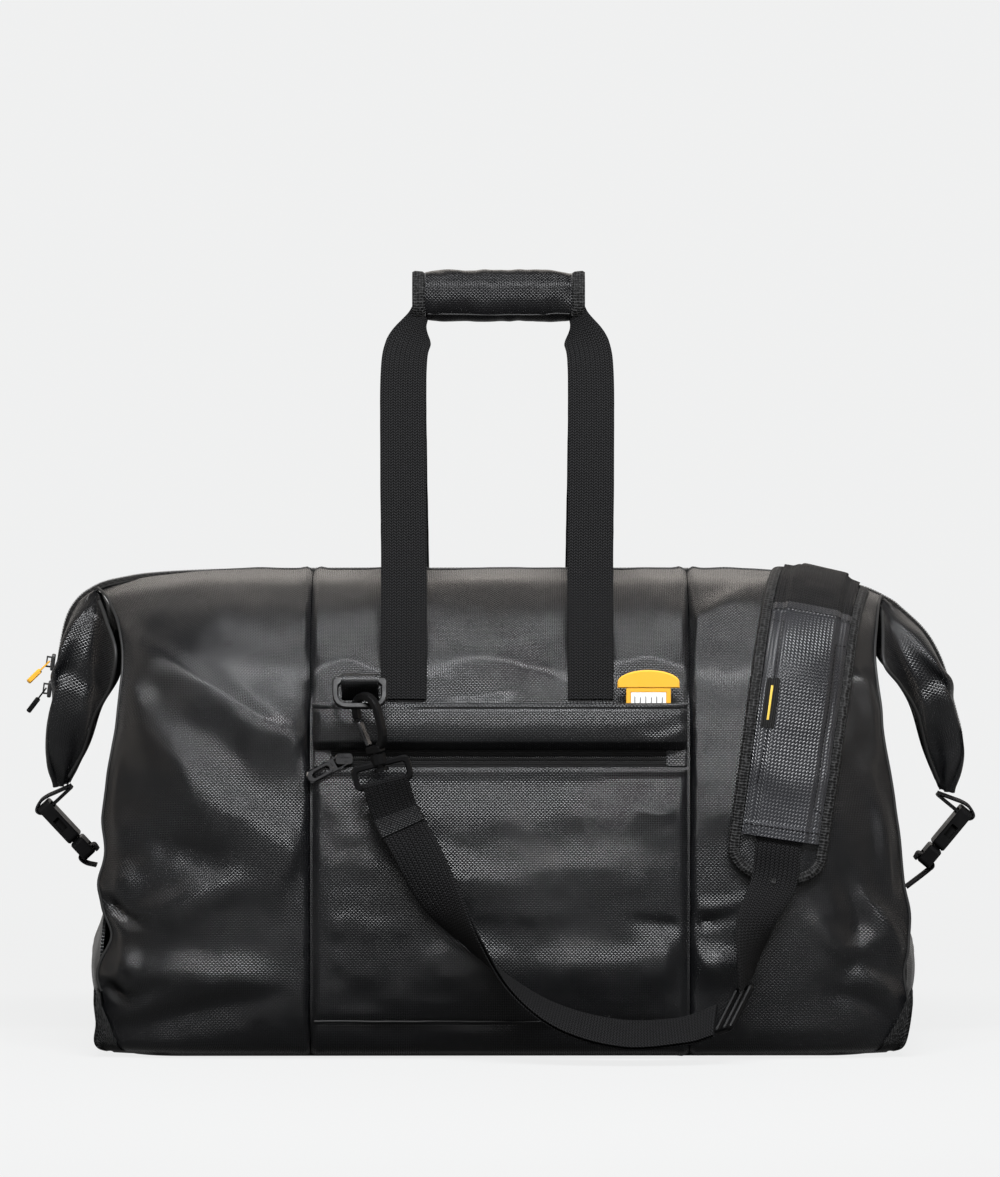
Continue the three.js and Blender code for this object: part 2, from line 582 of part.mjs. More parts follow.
function hardware() {
  for (const [face, turn] of [["front", 0], ["back", PI]]) {
    const side = new THREE.Group();
    side.rotation.z = turn;
    bag.add(side);
    const ring = new THREE.Group();
    ring.position.set(RING.x, RING.y, RING.z);
    ring.rotation.x = deg(RING.tilt);
    side.add(ring);
    add(`${face}_ring`, ringShape(), plastic, ring);
    const loop = [
      [-134.2, 252.5], [-143.4, 263.3], [-149.4, 268.4], [-154.4, 269.2], [-157.6, 265.4], [-155, 261], [-150, 259.4],
      [-144, 256.4], [-136.4, 250.6],
    ].map(([y, z]) => [V(RING.x, y, z), V(1, 0, 0)]);
    add(`${face}_ring_tab`, ribbon(loop, 26, 1.2, 18), tarp, side);
    const hook = new THREE.Group();
    hook.position.set(HOOK.x, HOOK.y, HOOK.z);
    hook.rotation.y = deg(HOOK.lean);
    side.add(hook);
    add(`${face}_swivel_frame`, frameShape(), plastic, hook);
    const turned = new THREE.Group();
    turned.rotation.z = deg(HOOK.turn);
    hook.add(turned);
    add(`${face}_hook`, hookShape(), plastic, turned);
    const gate = plate(roundedRect(3, 18.6, 1.3), 4, 0.6, 2).translate(0, 0, 9.3);
    const swing = new THREE.Group();
    swing.position.set(-6.2, 0, 9.5);
    swing.rotation.y = deg(-12.5);
    turned.add(swing);
    add(`${face}_gate`, gate, steel, swing);
  }
}

// ---- shoulder strap ----
const FRONT_STRAP = [
  [V(-79.6, -165.8, 197), V(0.97, 0, 0.24)],
  [V(-72, -163.5, 173.5), V(0.93, 0.05, 0.36)],
  [V(-58, -162, 148), V(0.87, 0.05, 0.48)],
  [V(-41, -163, 117), V(0.72, -0.45, 0.5)],
  [V(-19, -166, 86), V(0.35, -0.9, 0.15)],
  [V(9, -168, 55), V(-0.05, -0.97, -0.15)],
  [V(44, -169, 32), V(-0.12, -0.9, -0.4)],
  [V(86, -169, 21.5), V(-0.05, -0.87, -0.5)],
  [V(126, -167, 24), V(0.05, -0.88, -0.47)],
  [V(149, -164, 31), V(-0.1, -0.8, -0.58)],
];
const ADJUSTER = { at: V(162, -163.5, 38), across: V(-0.42, -0.5, -0.76), along: V(0.5, -0.82, 0.25) };

function padPoint(u, v, off) {
  const width = (u - 0.5) * PAD.width;
  const x = lerp(189, 226, v) + width * 0.985;
  const share = lerp(PAD.from, PAD.to, v) - (width * 0.16) / MIDDLE.getLength();
  return skin(x, share, off);
}

function strap() {
  add("strap_front_outer", ribbon(FRONT_STRAP, WEB, WEB_T, 30), webbing);
  const behind = FRONT_STRAP.map(([p, w], k) => {
    const next = FRONT_STRAP[min(k + 1, FRONT_STRAP.length - 1)][0];
    const prior = FRONT_STRAP[max(k - 1, 0)][0];
    const normal = w.clone().normalize().cross(next.clone().sub(prior).normalize());
    return [p.clone().addScaledVector(normal, k ? -2.4 : -7.6), w];
  });
  add("strap_front_inner", ribbon(behind, WEB, WEB_T, 30), webbing);
  const onPad = (v, off) => {
    const [a, b] = [padPoint(0.27, v, off), padPoint(0.73, v, off)];
    return [a.clone().add(b).multiplyScalar(0.5), a.sub(b)];
  };
  const over = (x, share, off) => {
    const [a, b] = [skin(x - WEB / 2, share, off), skin(x + WEB / 2, share, off)];
    return [a.clone().add(b).multiplyScalar(0.5), a.sub(b)];
  };
  const stations = [
    [V(171, -161.5, 56), V(-0.35, -0.88, -0.4)],
    [V(173, -162, 74), V(-0.55, -0.82, -0.15)],
    [V(178, -161, 100), V(-0.88, -0.45, 0.05)],
    ...[...Array(13).keys()].map((k) => onPad(k / 12, PAD.foam + 3.1)),
    over(230, 0.52, 8),
    over(229, 0.58, 7),
    over(226, 0.66, 7),
    over(220, 0.74, 8),
    [V(204, 156, 120), V(-0.85, 0.3, 0.4)],
    [V(180, 164, 76), V(-0.35, 0.85, 0.4)],
    [V(146, 167, 60), V(0.1, 0.95, 0.2)],
    [V(116, 166, 82), V(0.35, 0.85, -0.3)],
    [V(96, 164, 122), V(0.75, 0.55, -0.2)],
    [V(84, 163.5, 164), V(0.95, 0.15, -0.2)],
    [V(79.6, 165.6, 196), V(0.97, 0, 0.24).multiply(V(1, 1, -1))],
  ];
  add("shoulder_strap", ribbon(stations, WEB, WEB_T, 60), webbing);
  const pad = (u, v) => padPoint(u, v, 1 + PAD.foam);
  add("shoulder_pad", slab(pad, 4, 14, PAD.foam), foam);
  const cover = (u, v) => padPoint(lerp(0.17, 0.83, u), lerp(0.118, 0.735, v), PAD.foam + 7);
  add("pad_cover", slab(cover, 3, 14, 1.4), tarp);
  const { at, across, along } = ADJUSTER;
  const group = new THREE.Group();
  group.position.copy(at);
  const y = along.clone().cross(across).normalize();
  const x = across.clone().normalize();
  group.matrixAutoUpdate = false;
  group.matrix.makeBasis(x, y, x.clone().cross(y)).setPosition(at);
  bag.add(group);
  const outline = roundedRect(40, 22, 4);
  for (const s of [1, -1]) {
    const slot = new THREE.Path();
    const z = s * 5.2;
    slot.moveTo(-16.6, z - 2.6).lineTo(-16.6, z + 2.6).lineTo(16.6, z + 2.6).lineTo(16.6, z - 2.6).closePath();
    outline.holes.push(slot);
  }
  add("strap_adjuster", plate(outline, 4, 0.9, 2), plastic, group);
}

// ---- the tag that stands in the slip pocket ----
function tag() {
  const x = 103;
  const y = -139.2;
  const group = new THREE.Group();
  group.position.set(x, y, 0);
  bag.add(group);
  const cap = new THREE.Shape();
  cap.moveTo(-21.5, 259.2).lineTo(21.5, 259.2).lineTo(21.5, 263);
  cap.absellipse(0, 263, 21.5, 8.6, 0, PI, false).closePath();
  const capPlate = plate(cap, 4.4, 0.8, 12);
  const neck = plate(roundedRect(31, 38, 2), 3, 0.5, 2).translate(0, 0, 241.6);
  const window = block(-12.5, 12.5, -3, -0.6, 224, 256.6);
  add("tag_frame", cut(join(capPlate, neck), window), yellow, group);
  add("tag_card", block(-12.1, 12.1, -1.4, -0.9, 224.5, 256.2), card, group);
}

panels();
ends();
floor();
corners();
wings();
mainZip();
pocket();
pocketSlider();
mainSliders();
handles();
buckles();
hardware();
strap();
tag();

export default bag;
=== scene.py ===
"""Weekender bag: fabric, webbing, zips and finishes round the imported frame."""
import math
import bpy
import numpy as np
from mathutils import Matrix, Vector

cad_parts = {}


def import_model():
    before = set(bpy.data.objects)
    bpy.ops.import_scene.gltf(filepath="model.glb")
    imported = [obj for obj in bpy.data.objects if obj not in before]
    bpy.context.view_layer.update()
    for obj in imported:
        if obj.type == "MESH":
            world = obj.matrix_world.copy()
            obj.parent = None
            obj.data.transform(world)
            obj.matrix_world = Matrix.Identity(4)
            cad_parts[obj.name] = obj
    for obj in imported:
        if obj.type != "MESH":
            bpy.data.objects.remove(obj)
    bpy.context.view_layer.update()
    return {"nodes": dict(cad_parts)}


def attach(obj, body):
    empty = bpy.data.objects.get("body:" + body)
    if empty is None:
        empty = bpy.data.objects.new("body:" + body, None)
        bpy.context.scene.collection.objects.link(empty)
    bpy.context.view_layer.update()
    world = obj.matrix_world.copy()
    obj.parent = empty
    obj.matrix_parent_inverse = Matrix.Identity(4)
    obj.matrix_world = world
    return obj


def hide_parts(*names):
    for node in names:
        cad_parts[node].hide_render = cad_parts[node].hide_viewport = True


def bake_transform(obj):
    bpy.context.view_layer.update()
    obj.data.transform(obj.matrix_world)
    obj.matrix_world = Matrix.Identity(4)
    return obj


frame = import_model()
MM = 0.001
scene = bpy.context.scene

# ---- camera, made first ----
CAMERA_DISTANCE, CAMERA_TILT = 6.5, 3.0
VIEW_HEIGHT = 0.8207  # metres seen from the frame's top to its bottom at the bag's front
AIM = Vector((0.0000, -0.10, 0.3262))


def make_camera():
    data = bpy.data.cameras.new("camera")
    data.lens = data.sensor_width / 2 / (VIEW_HEIGHT / 2 / CAMERA_DISTANCE)
    cam = bpy.data.objects.new("camera", data)
    tilt = math.radians(CAMERA_TILT)
    cam.location = AIM + CAMERA_DISTANCE * Vector((0, -math.cos(tilt), math.sin(tilt)))
    cam.rotation_euler = (math.pi / 2 - tilt, 0, 0)
    data.clip_start, data.clip_end = 0.05, 60
    scene.collection.objects.link(cam)
    scene.camera = cam


make_camera()


# ---- curves and the bag's skin, in millimetres as in the CAD ----
def catmull(points, t):
    """Points at t, from 0 to 1, of a uniform Catmull-Rom curve through the rows of points."""
    p = np.asarray(points, float)
    n = len(p) - 1
    p = np.vstack([2 * p[0] - p[1], p, 2 * p[-1] - p[-2]])
    s = np.clip(np.asarray(t, float) * n, 0, n - 1e-9)
    k = s.astype(int)
    w = (s - k)[..., None]
    a, b, c, d = p[k], p[k + 1], p[k + 2], p[k + 3]
    m0, m1 = (c - a) / 2, (d - b) / 2
    start = ((2 * w - 3) * w * w + 1) * b + ((w - 2) * w + 1) * w * m0
    return start + (3 - 2 * w) * w * w * c + (w - 1) * w * w * m1


def unit(vectors):
    return vectors / np.linalg.norm(vectors, axis=-1, keepdims=True)


def grid_of(u0, u1, v0, v1, nu, nv):
    """Two grids of nu by nv even steps: u runs down the rows, v along them."""
    return np.meshgrid(np.linspace(u0, u1, nu), np.linspace(v0, v1, nv), indexing="ij")


def run_along(line):
    """The length of a line from its start to each of its points."""
    return np.concatenate([[0], np.cumsum(np.linalg.norm(np.diff(line, axis=0), axis=1))])


def at_run(line, run, where):
    """The points of a line, or the values of rows that go with it, at some lengths along it."""
    return np.stack([np.interp(where, run, line[:, a]) for a in range(line.shape[1])], -1)


SEAM_X = 132  # the upright seams between the centre and the side panels
SEAM_INSET = 0.2
CLOTH = 2.1  # the shell's thickness
LEFT_DRAW = 4.5
END_X = 286
ROWS = np.array([  # from the foot of the front to the zip: middle y and z, end x, y and z
    [119, 1.5, 270, 100, 1.5], [132, 12, 281, 114, 12], [139, 60, 286, 116, 60], [141, 120, 281, 112, 120],
    [139, 180, 275, 107, 180], [133, 232, 266, 98, 232], [117, 274, 263, 82, 272], [88, 304.5, 267, 62, 297],
    [52, 324.5, 275, 36, 313], [14, 333.5, 284, 9, 320.5],
], float)
RIDGE = np.array([[0, 334.5, 285, 0, 321.5]], float)
BACK_ROWS = ROWS[::-1] * [-1, 1, 1, -1, 1]
ALL_ROWS = np.vstack([ROWS, RIDGE, BACK_ROWS])
MIDDLE = np.column_stack([0 * ALL_ROWS[:, 0], -ALL_ROWS[:, 0], ALL_ROWS[:, 1]])
END = np.column_stack([ALL_ROWS[:, 2], -ALL_ROWS[:, 3], ALL_ROWS[:, 4]])
# The right shoulder slopes more: x, y, z of its last rows, up to the ridge.
RIGHT_SHOULDER = np.array([[262.5, 82, 271], [264, 59.5, 295], [266, 34, 307.5], [269, 9, 314], [270, 0, 315]], float)
RIGHT_END = END.copy()
RIGHT_END[len(ROWS) - 4:len(ROWS) + 1] = RIGHT_SHOULDER * [1, -1, 1]
RIGHT_END[len(ROWS):len(ROWS) + 5] = RIGHT_SHOULDER[::-1]
ZIP_T = 0.45  # where a panel ends under the main zip
TABLE_T = np.linspace(0, 1, 2001)
TABLE_RUN = run_along(catmull(MIDDLE, TABLE_T))
GIRTH = TABLE_RUN[-1]


def t_of(share):
    return np.interp(np.asarray(share) * GIRTH, TABLE_RUN, TABLE_T)


def skin_at(t, u, side):
    """The skin at t along its section and u from an upright seam, 0, to the end, 1."""
    t, u = np.broadcast_arrays(np.asarray(t, float), np.asarray(u, float))
    m, e = catmull(MIDDLE, t), catmull(END if side < 0 else RIGHT_END, t)
    out = np.empty(t.shape + (3,))
    out[..., 0] = side * (SEAM_X + (e[..., 0] - SEAM_X) * u)
    out[..., 1] = m[..., 1] + (e[..., 1] - m[..., 1]) * u**4
    out[..., 2] = m[..., 2] + (e[..., 2] - m[..., 2]) * u**3
    return out


def skin(x, share, off=0.0):
    """The skin at x and at a share of its section's length, off millimetres outwards."""
    x, share = np.broadcast_arrays(np.asarray(x, float), np.asarray(share, float))

    def at(xx, q):
        t = t_of(np.clip(q, 0, 1))
        e = catmull(RIGHT_END, t)
        u = np.clip((np.abs(xx) - SEAM_X) / (e[..., 0] - SEAM_X), 0, 1)
        p = skin_at(t, u, 1)
        p[..., 0] = xx
        return p

    along = at(x, share + 2e-3) - at(x, share - 2e-3)
    across = at(x + 1, share) - at(x - 1, share)
    return at(x, share) + unit(np.cross(across, along)) * np.asarray(off)[..., None]


def depth_at(z):
    """Half the bag's depth at a height, at the middle of its length."""
    p = catmull(MIDDLE, np.linspace(0, ZIP_T, 400))
    return np.interp(z, p[:, 2], -p[:, 1])


def on_front(x, z, off):
    """Points off millimetres in front of the bag's middle panel."""
    return np.stack([x, -(depth_at(z) + off), z], -1)


# ---- meshes ----
def normals(p):
    """Unit normals of a grid of points, the first index running across and the second along."""
    n = np.cross(np.gradient(p, axis=0), np.gradient(p, axis=1))
    length = np.linalg.norm(n, axis=-1, keepdims=True)
    return n / np.maximum(length, 1e-9)


def mesh_object(name, points, faces, material, uv=None, sharp=35):
    """A smooth-shaded mesh from points in millimetres, creased where faces meet at more than sharp degrees."""
    mesh = bpy.data.meshes.new(name)
    mesh.from_pydata((np.asarray(points) * MM).tolist(), [], faces)
    mesh.validate()
    if uv is not None:
        layer = mesh.uv_layers.new(name="thread")
        loops = np.empty(len(mesh.loops), int)
        mesh.loops.foreach_get("vertex_index", loops)
        layer.data.foreach_set("uv", np.asarray(uv, np.float32)[loops].ravel())
    mesh.shade_smooth()
    mesh.set_sharp_from_angle(angle=math.radians(sharp))
    mesh.materials.append(material)
    obj = bpy.data.objects.new(name, mesh)
    scene.collection.objects.link(obj)
    return obj


def facing_out(points, faces):
    """The four-sided faces of a closed surface, turned round if they enclose a negative volume."""
    p = points[np.concatenate([faces[:, [0, 1, 2]], faces[:, [0, 2, 3]]])]
    volume = np.einsum("ij,ij->i", p[:, 0], np.cross(p[:, 1], p[:, 2])).sum()
    return faces[:, ::-1] if volume < 0 else faces


def shell(name, outer, depth, material, closed_u=False, sharp=35, inner=None):
    """A closed sheet: outer is a grid of points, and depth its thickness behind them. UVs are lengths in metres."""
    if inner is None:
        inner = outer - normals(outer) * depth
    nu, nv = outer.shape[:2]
    points = np.concatenate([outer.reshape(-1, 3), inner.reshape(-1, 3)])
    index = np.arange(nu * nv).reshape(nu, nv)
    if closed_u:
        index = np.vstack([index, index[:1]])
    a, b, c, d = index[:-1, :-1], index[1:, :-1], index[1:, 1:], index[:-1, 1:]
    top = np.stack([a, b, c, d], -1).reshape(-1, 4)
    shift = nu * nv
    bottom = top[:, ::-1] + shift
    rims = [(index[:, 0], False), (index[:, -1], True)]
    if not closed_u:
        rims += [(index[0, :], True), (index[-1, :], False)]
    sides = []
    for rim, flip in rims:
        quad = np.stack([rim[1:], rim[:-1], rim[:-1] + shift, rim[1:] + shift], -1)
        sides.append(quad[:, ::-1] if flip else quad)
    faces = np.concatenate([top, bottom, *sides])
    faces = facing_out(points, faces)
    du = np.linalg.norm(np.diff(outer, axis=0), axis=-1)
    dv = np.linalg.norm(np.diff(outer, axis=1), axis=-1)
    u = np.vstack([np.zeros((1, nv)), np.cumsum(du, axis=0)])
    u -= u.mean(axis=0)
    v = np.hstack([np.zeros((nu, 1)), np.cumsum(dv, axis=1)])
    v = np.broadcast_to(v.mean(axis=0), u.shape)
    u = np.broadcast_to(u.mean(axis=1, keepdims=True), u.shape)
    uv = np.stack([u, v], -1).reshape(-1, 2) * MM
    return mesh_object(name, points, faces.tolist(), material, np.concatenate([uv, uv]), sharp)


def place(obj, body, slot, *replaced):
    """Gives a piece its body and hides the CAD nodes it stands for; its slot argument is not used."""
    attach(obj, body)
    if replaced:
        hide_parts(*replaced)
    return obj


def smooth(t, low=0.0, high=1.0):
    """A soft step from 0 at low to 1 at high."""
    t = np.clip((np.asarray(t, float) - low) / (high - low), 0, 1)
    return t * t * (3 - 2 * t)


def bell(x, middle, width, height=1.0):
    return height * np.exp(-(((x - middle) / width) ** 2))


def rough(x, z, size, seed):
    """Smooth noise about -1 to 1, with cells of the given size."""
    lattice = np.random.RandomState(seed).uniform(-1, 1, (97, 97))
    a, b = np.asarray(x) / size + 40.3, np.asarray(z) / size + 31.7
    i, j = np.floor(a).astype(int), np.floor(b).astype(int)
    u, v = smooth(a - i), smooth(b - j)
    g = lambda p, q: lattice[p % 97, q % 97]
    low = g(i, j) * (1 - u) + g(i + 1, j) * u
    return low * (1 - v) + (g(i, j + 1) * (1 - u) + g(i + 1, j + 1) * u) * v


# ---- tubes, stitches and ribbons ----
def chain_faces(start, rings, sides):
    """Faces of a closed chain of rings, whose points follow each other from the index start."""
    faces = []
    for i in range(rings - 1):
        for k in range(sides):
            a, b = start + i * sides + k, start + i * sides + (k + 1) % sides
            faces.append((a, b, b + sides, a + sides))
    last = start + (rings - 1) * sides
    return faces + [tuple(range(start, start + sides))[::-1], tuple(range(last, last + sides))]


def tube(name, path, radius, material):
    """A thin round tube along a path, with flat ends."""
    sides = 8
    path = np.asarray(path, float)
    along = np.gradient(path, axis=0)
    along /= np.maximum(np.linalg.norm(along, axis=1, keepdims=True), 1e-9)
    up = np.array([0.31, 0.23, 0.92])
    side = np.cross(along, up)
    for k in range(1, len(side)):
        flat = side[k - 1] - along[k] * side[k - 1].dot(along[k])
        side[k] = flat / max(np.linalg.norm(flat), 1e-9)
    side = unit(side)
    third = np.cross(along, side)
    n = len(path)
    angle = np.linspace(0, 2 * math.pi, sides, endpoint=False)
    cos, sin = np.cos(angle)[None, :, None] * radius, np.sin(angle)[None, :, None] * radius
    points = (path[:, None] + side[:, None] * cos + third[:, None] * sin).reshape(-1, 3)
    faces = chain_faces(0, n, sides)
    run = run_along(path)
    uv = np.stack(np.broadcast_arrays(angle[None] * radius, run[:, None]), -1)
    return mesh_object(name, points, faces, material, uv.reshape(-1, 2) * MM, sharp=50)


def stitches(name, lines, length, gap, radius):
    """Stitches as short threads along lines of points, each a little sunk at its ends."""
    points, faces = [], []
    six = np.linspace(0, 2 * math.pi, 6, endpoint=False)
    for line in lines:
        line = np.asarray(line, float)
        run = run_along(line)
        count = max(1, int(run[-1] // (length + gap)))
        for k in range(count):
            s = (k + 0.15) * run[-1] / count
            at = at_run(line, run, np.array([s, s + length / 2, s + length]))
            way = at[2] - at[0]
            way /= max(np.linalg.norm(way), 1e-9)
            ref = np.array([0.0, -1.0, 0.35]) if abs(way[1]) < 0.8 else np.array([1.0, 0, 0.2])
            a = np.cross(way, ref)
            a /= np.linalg.norm(a)
            b = np.cross(way, a)
            start = len(points)
            for q, r in zip(at, (0.45, 1.0, 0.45)):
                for w in six:
                    points.append(q + (a * math.cos(w) + b * math.sin(w)) * radius * r)
            faces += chain_faces(start, 3, 6)
    return place(mesh_object(name, points, faces, THREAD, sharp=60), "bag", "webbing")


def stations_at(stations, v):
    """Points, width directions and normals at v along stations of (point, width direction)."""
    path = catmull([p for p, _ in stations], v)
    ways = unit(catmull([unit(np.asarray(w, float)) for _, w in stations], v))
    return path, ways, unit(np.cross(ways, unit(np.gradient(path, axis=0))))


def ribbon(name, stations, width, thick, material, nv, nu=13, wave=0.0, seed=1, gather=0.0):
    """Flat webbing along stations, with rounded edges. wave bends it across, and gather narrows its far end."""
    v = np.linspace(0, 1, nv)
    path, ways, normal = stations_at(stations, v)
    u = np.concatenate([[-1, -0.97], np.linspace(-0.9, 0.9, nu - 4), [0.97, 1]])
    half = thick / 2 * (1 - 0.75 * np.abs(u) ** 14)
    run = run_along(path)
    edge = 1 + 0.006 * rough(run, 0 * run, 9, seed)
    edge = edge * (1 - gather * smooth(v, 0.80, 0.97))
    shift = wave * rough(run, 0 * run + 40, 40, seed + 1)[None, :, None] * (u[:, None, None] ** 2 - 0.3)
    middle = path[None] + ways[None] * (u[:, None] * width / 2 * edge[None])[..., None] + normal[None] * shift
    outer = middle + normal[None] * half[:, None, None]
    inner = middle - normal[None] * half[:, None, None]
    return shell(name, outer, thick, material, inner=inner, sharp=50)


# ---- materials ----
def new_material(name, colour, roughness, specular=0.5, metallic=0.0):
    m = bpy.data.materials.new(name)
    m.use_nodes = True
    bsdf = m.node_tree.nodes["Principled BSDF"]
    bsdf.inputs["Base Color"].default_value = (*colour, 1)
    bsdf.inputs["Roughness"].default_value = roughness
    bsdf.inputs["Metallic"].default_value = metallic
    bsdf.inputs["Specular IOR Level"].default_value = specular
    return m, bsdf


class Nodes:
    """Short names for the nodes that the materials and the studio are made of."""

    def __init__(self, owner):
        self.tree = owner.node_tree

    def node(self, kind, **values):
        n = self.tree.nodes.new(kind)
        for k, v in values.items():
            if hasattr(n, k):
                setattr(n, k, v)
            else:
                n.inputs[k].default_value = v
        return n

    def link(self, a, b):
        self.tree.links.new(a, b)

    def math(self, op, a, b=None, c=None):
        n = self.node("ShaderNodeMath", operation=op)
        for socket, value in zip(n.inputs, (a, b, c)):
            if value is None:
                continue
            if isinstance(value, (int, float)):
                socket.default_value = value
            else:
                self.link(value, socket)
        return n.outputs[0]

    def thread(self):
        """The cloth's own coordinates in metres: both together, across the threads, and along them."""
        uv = self.node("ShaderNodeUVMap", uv_map="thread")
        xyz = self.node("ShaderNodeSeparateXYZ")
        self.link(uv.outputs[0], xyz.inputs[0])
        return uv.outputs[0], xyz.outputs[0], xyz.outputs[1]

    def place_vector(self):
        return self.node("ShaderNodeTexCoord").outputs["Object"]

    def noise(self, vector, scale, detail=2.0, rough=0.5):
        n = self.node("ShaderNodeTexNoise", Scale=scale, Detail=detail, Roughness=rough)
        self.link(vector, n.inputs["Vector"])
        return n.outputs["Fac"]

    def ramp(self, value, low, high, to_low, to_high, shape="LINEAR"):
        n = self.node("ShaderNodeMapRange", interpolation_type=shape)
        self.link(value, n.inputs["Value"])
        for key, number in zip(("From Min", "From Max", "To Min", "To Max"), (low, high, to_low, to_high)):
            n.inputs[key].default_value = number
        return n.outputs[0]

    def mix(self, fac, a, b):
        n = self.node("ShaderNodeMix", data_type="RGBA")
        self.link(fac, n.inputs[0])
        n.inputs[6].default_value = (*a, 1)
        n.inputs[7].default_value = (*b, 1)
        return n.outputs[2]

    def shader(self, kind, colour):
        return self.node(kind, Color=(*colour, 1))

    def by_eye(self, others, camera):
        """One shader for what the camera sees straight on, another for the light that things get."""
        return self.mix_shader(self.node("ShaderNodeLightPath").outputs["Is Camera Ray"], others, camera)

    def mix_shader(self, fac, a, b):
        n = self.node("ShaderNodeMixShader")
        for value, socket in zip((fac, a, b), n.inputs):
            self.link(value, socket)
        return n.outputs[0]

    def bump(self, height, distance, strength=1.0, below=None):
        n = self.node("ShaderNodeBump", Distance=distance, Strength=strength)
        self.link(height, n.inputs["Height"])
        if below is not None:
            self.link(below, n.inputs["Normal"])
        return n.outputs[0]


def weave_height(k, u, v, period):
    """Plain weave: threads over and under each other."""
    a = k.math("MULTIPLY", u, math.pi / period)
    b = k.math("MULTIPLY", v, math.pi / period)
    warp = k.math("ABSOLUTE", k.math("SINE", a))
    weft = k.math("ABSOLUTE", k.math("SINE", b))
    turned = [k.math("SINE", k.math("ADD", angle, math.pi / 2)) for angle in (a, b)]
    pick = k.math("GREATER_THAN", k.math("MULTIPLY", *turned), 0.0)
    first = k.math("MULTIPLY", warp, pick)
    second = k.math("MULTIPLY", weft, k.math("SUBTRACT", 1.0, pick))
    return k.math("ADD", first, second)


def tarpaulin(name, colour=(0.0028, 0.003, 0.0036), roughness=0.29, weave=0.00018, angle=0.0, period=0.00125,
              specular=0.5):
    """Coated cloth: a weave seen through a smooth coat, its threads turned by angle."""
    m, bsdf = new_material(name, colour, roughness, specular=specular)
    k = Nodes(m)
    _, u, v = k.thread()
    if angle:
        c, s = math.cos(angle), math.sin(angle)
        u, v = (
            k.math("ADD", k.math("MULTIPLY", u, c), k.math("MULTIPLY", v, s)),
            k.math("SUBTRACT", k.math("MULTIPLY", v, c), k.math("MULTIPLY", u, s)),
        )
    height = weave_height(k, u, v, period)
    where = k.place_vector()
    broad = k.noise(where, 9.0, 3.0)
    grain = k.bump(k.noise(where, 900.0, 1.0), 0.00008, 0.5)
    soft = k.bump(k.noise(where, 28.0, 2.0), 0.0016, 0.35, grain)
    k.link(k.bump(height, weave, 1.0, soft), bsdf.inputs["Normal"])
    dark = tuple(c * 0.75 for c in colour)
    light = tuple(c * 1.3 for c in colour)
    k.link(k.mix(k.ramp(broad, 0.35, 0.65, 0, 1), dark, light), bsdf.inputs["Base Color"])
    worn = k.ramp(broad, 0.3, 0.7, roughness - 0.04, roughness + 0.05)
    k.link(k.math("ADD", worn, k.math("MULTIPLY", height, -0.05)), bsdf.inputs["Roughness"])
    return m


def webbing(name, colour=(0.0016, 0.0016, 0.0017), rib=0.0021):
    """Ribbed polyester webbing: herringbone ribs across the strap's width, over cords that run along it."""
    cord = 0.0016
    m, bsdf = new_material(name, colour, 0.62, specular=0.13)
    bsdf.inputs["Sheen Weight"].default_value = 0.005
    bsdf.inputs["Sheen Roughness"].default_value = 0.5
    k = Nodes(m)
    _, u, v = k.thread()
    zigzag = k.math("PINGPONG", u, cord)
    along = k.math("ADD", v, k.math("MULTIPLY", zigzag, 0.9))
    wave = k.math("ABSOLUTE", k.math("SINE", k.math("MULTIPLY", along, math.pi / rib)))
    cords = k.math("ABSOLUTE", k.math("SINE", k.math("MULTIPLY", u, math.pi / cord)))
    height = k.math("ADD", k.math("MULTIPLY", wave, 0.7), k.math("MULTIPLY", cords, 0.4))
    fuzz = k.bump(k.noise(k.place_vector(), 1400.0, 1.0), 0.0001, 0.4)
    k.link(k.bump(height, 0.0006, 1.0, fuzz), bsdf.inputs["Normal"])
    # The rib crests are painted lighter and the hollows darker: painted highlight on the crests and painted shade in
    # the hollows.
    lit = tuple(c * 8 for c in colour)
    dim = tuple(c * 0.3 for c in colour)
    k.link(k.mix(k.ramp(height, 0.5, 1.05, 0, 1), dim, lit), bsdf.inputs["Base Color"])
    return m


def knitted(name, colour=(0.0035, 0.0035, 0.0035), cell=0.0021):
    """Knitted mesh tape: small open cells."""
    m, bsdf = new_material(name, colour, 0.6, specular=0.2)
    bsdf.inputs["Sheen Weight"].default_value = 0.008
    k = Nodes(m)
    vector, *_ = k.thread()
    cells = k.node("ShaderNodeTexVoronoi", Scale=1 / cell, Randomness=0.35)
    k.link(vector, cells.inputs["Vector"])
    hole = k.ramp(cells.outputs["Distance"], 0.3, 0.62, 0, 1)
    k.link(k.mix(hole, (0.0008, 0.0008, 0.0008), tuple(c * 9 for c in colour)), bsdf.inputs["Base Color"])
    k.link(k.bump(hole, 0.0006, 1.0), bsdf.inputs["Normal"])
    return m


def moulded(name, colour, roughness, specular=0.5, grain=0.00004, metallic=0.0):
    """A plain solid surface, with a fine grain and uneven gloss."""
    m, bsdf = new_material(name, colour, roughness, specular, metallic)
    k = Nodes(m)
    where = k.place_vector()
    k.link(k.bump(k.noise(where, 1500.0, 2.0), grain, 0.6), bsdf.inputs["Normal"])
    k.link(k.ramp(k.noise(where, 120.0, 3.0), 0.3, 0.7, roughness - 0.05, roughness + 0.09), bsdf.inputs["Roughness"])
    return m


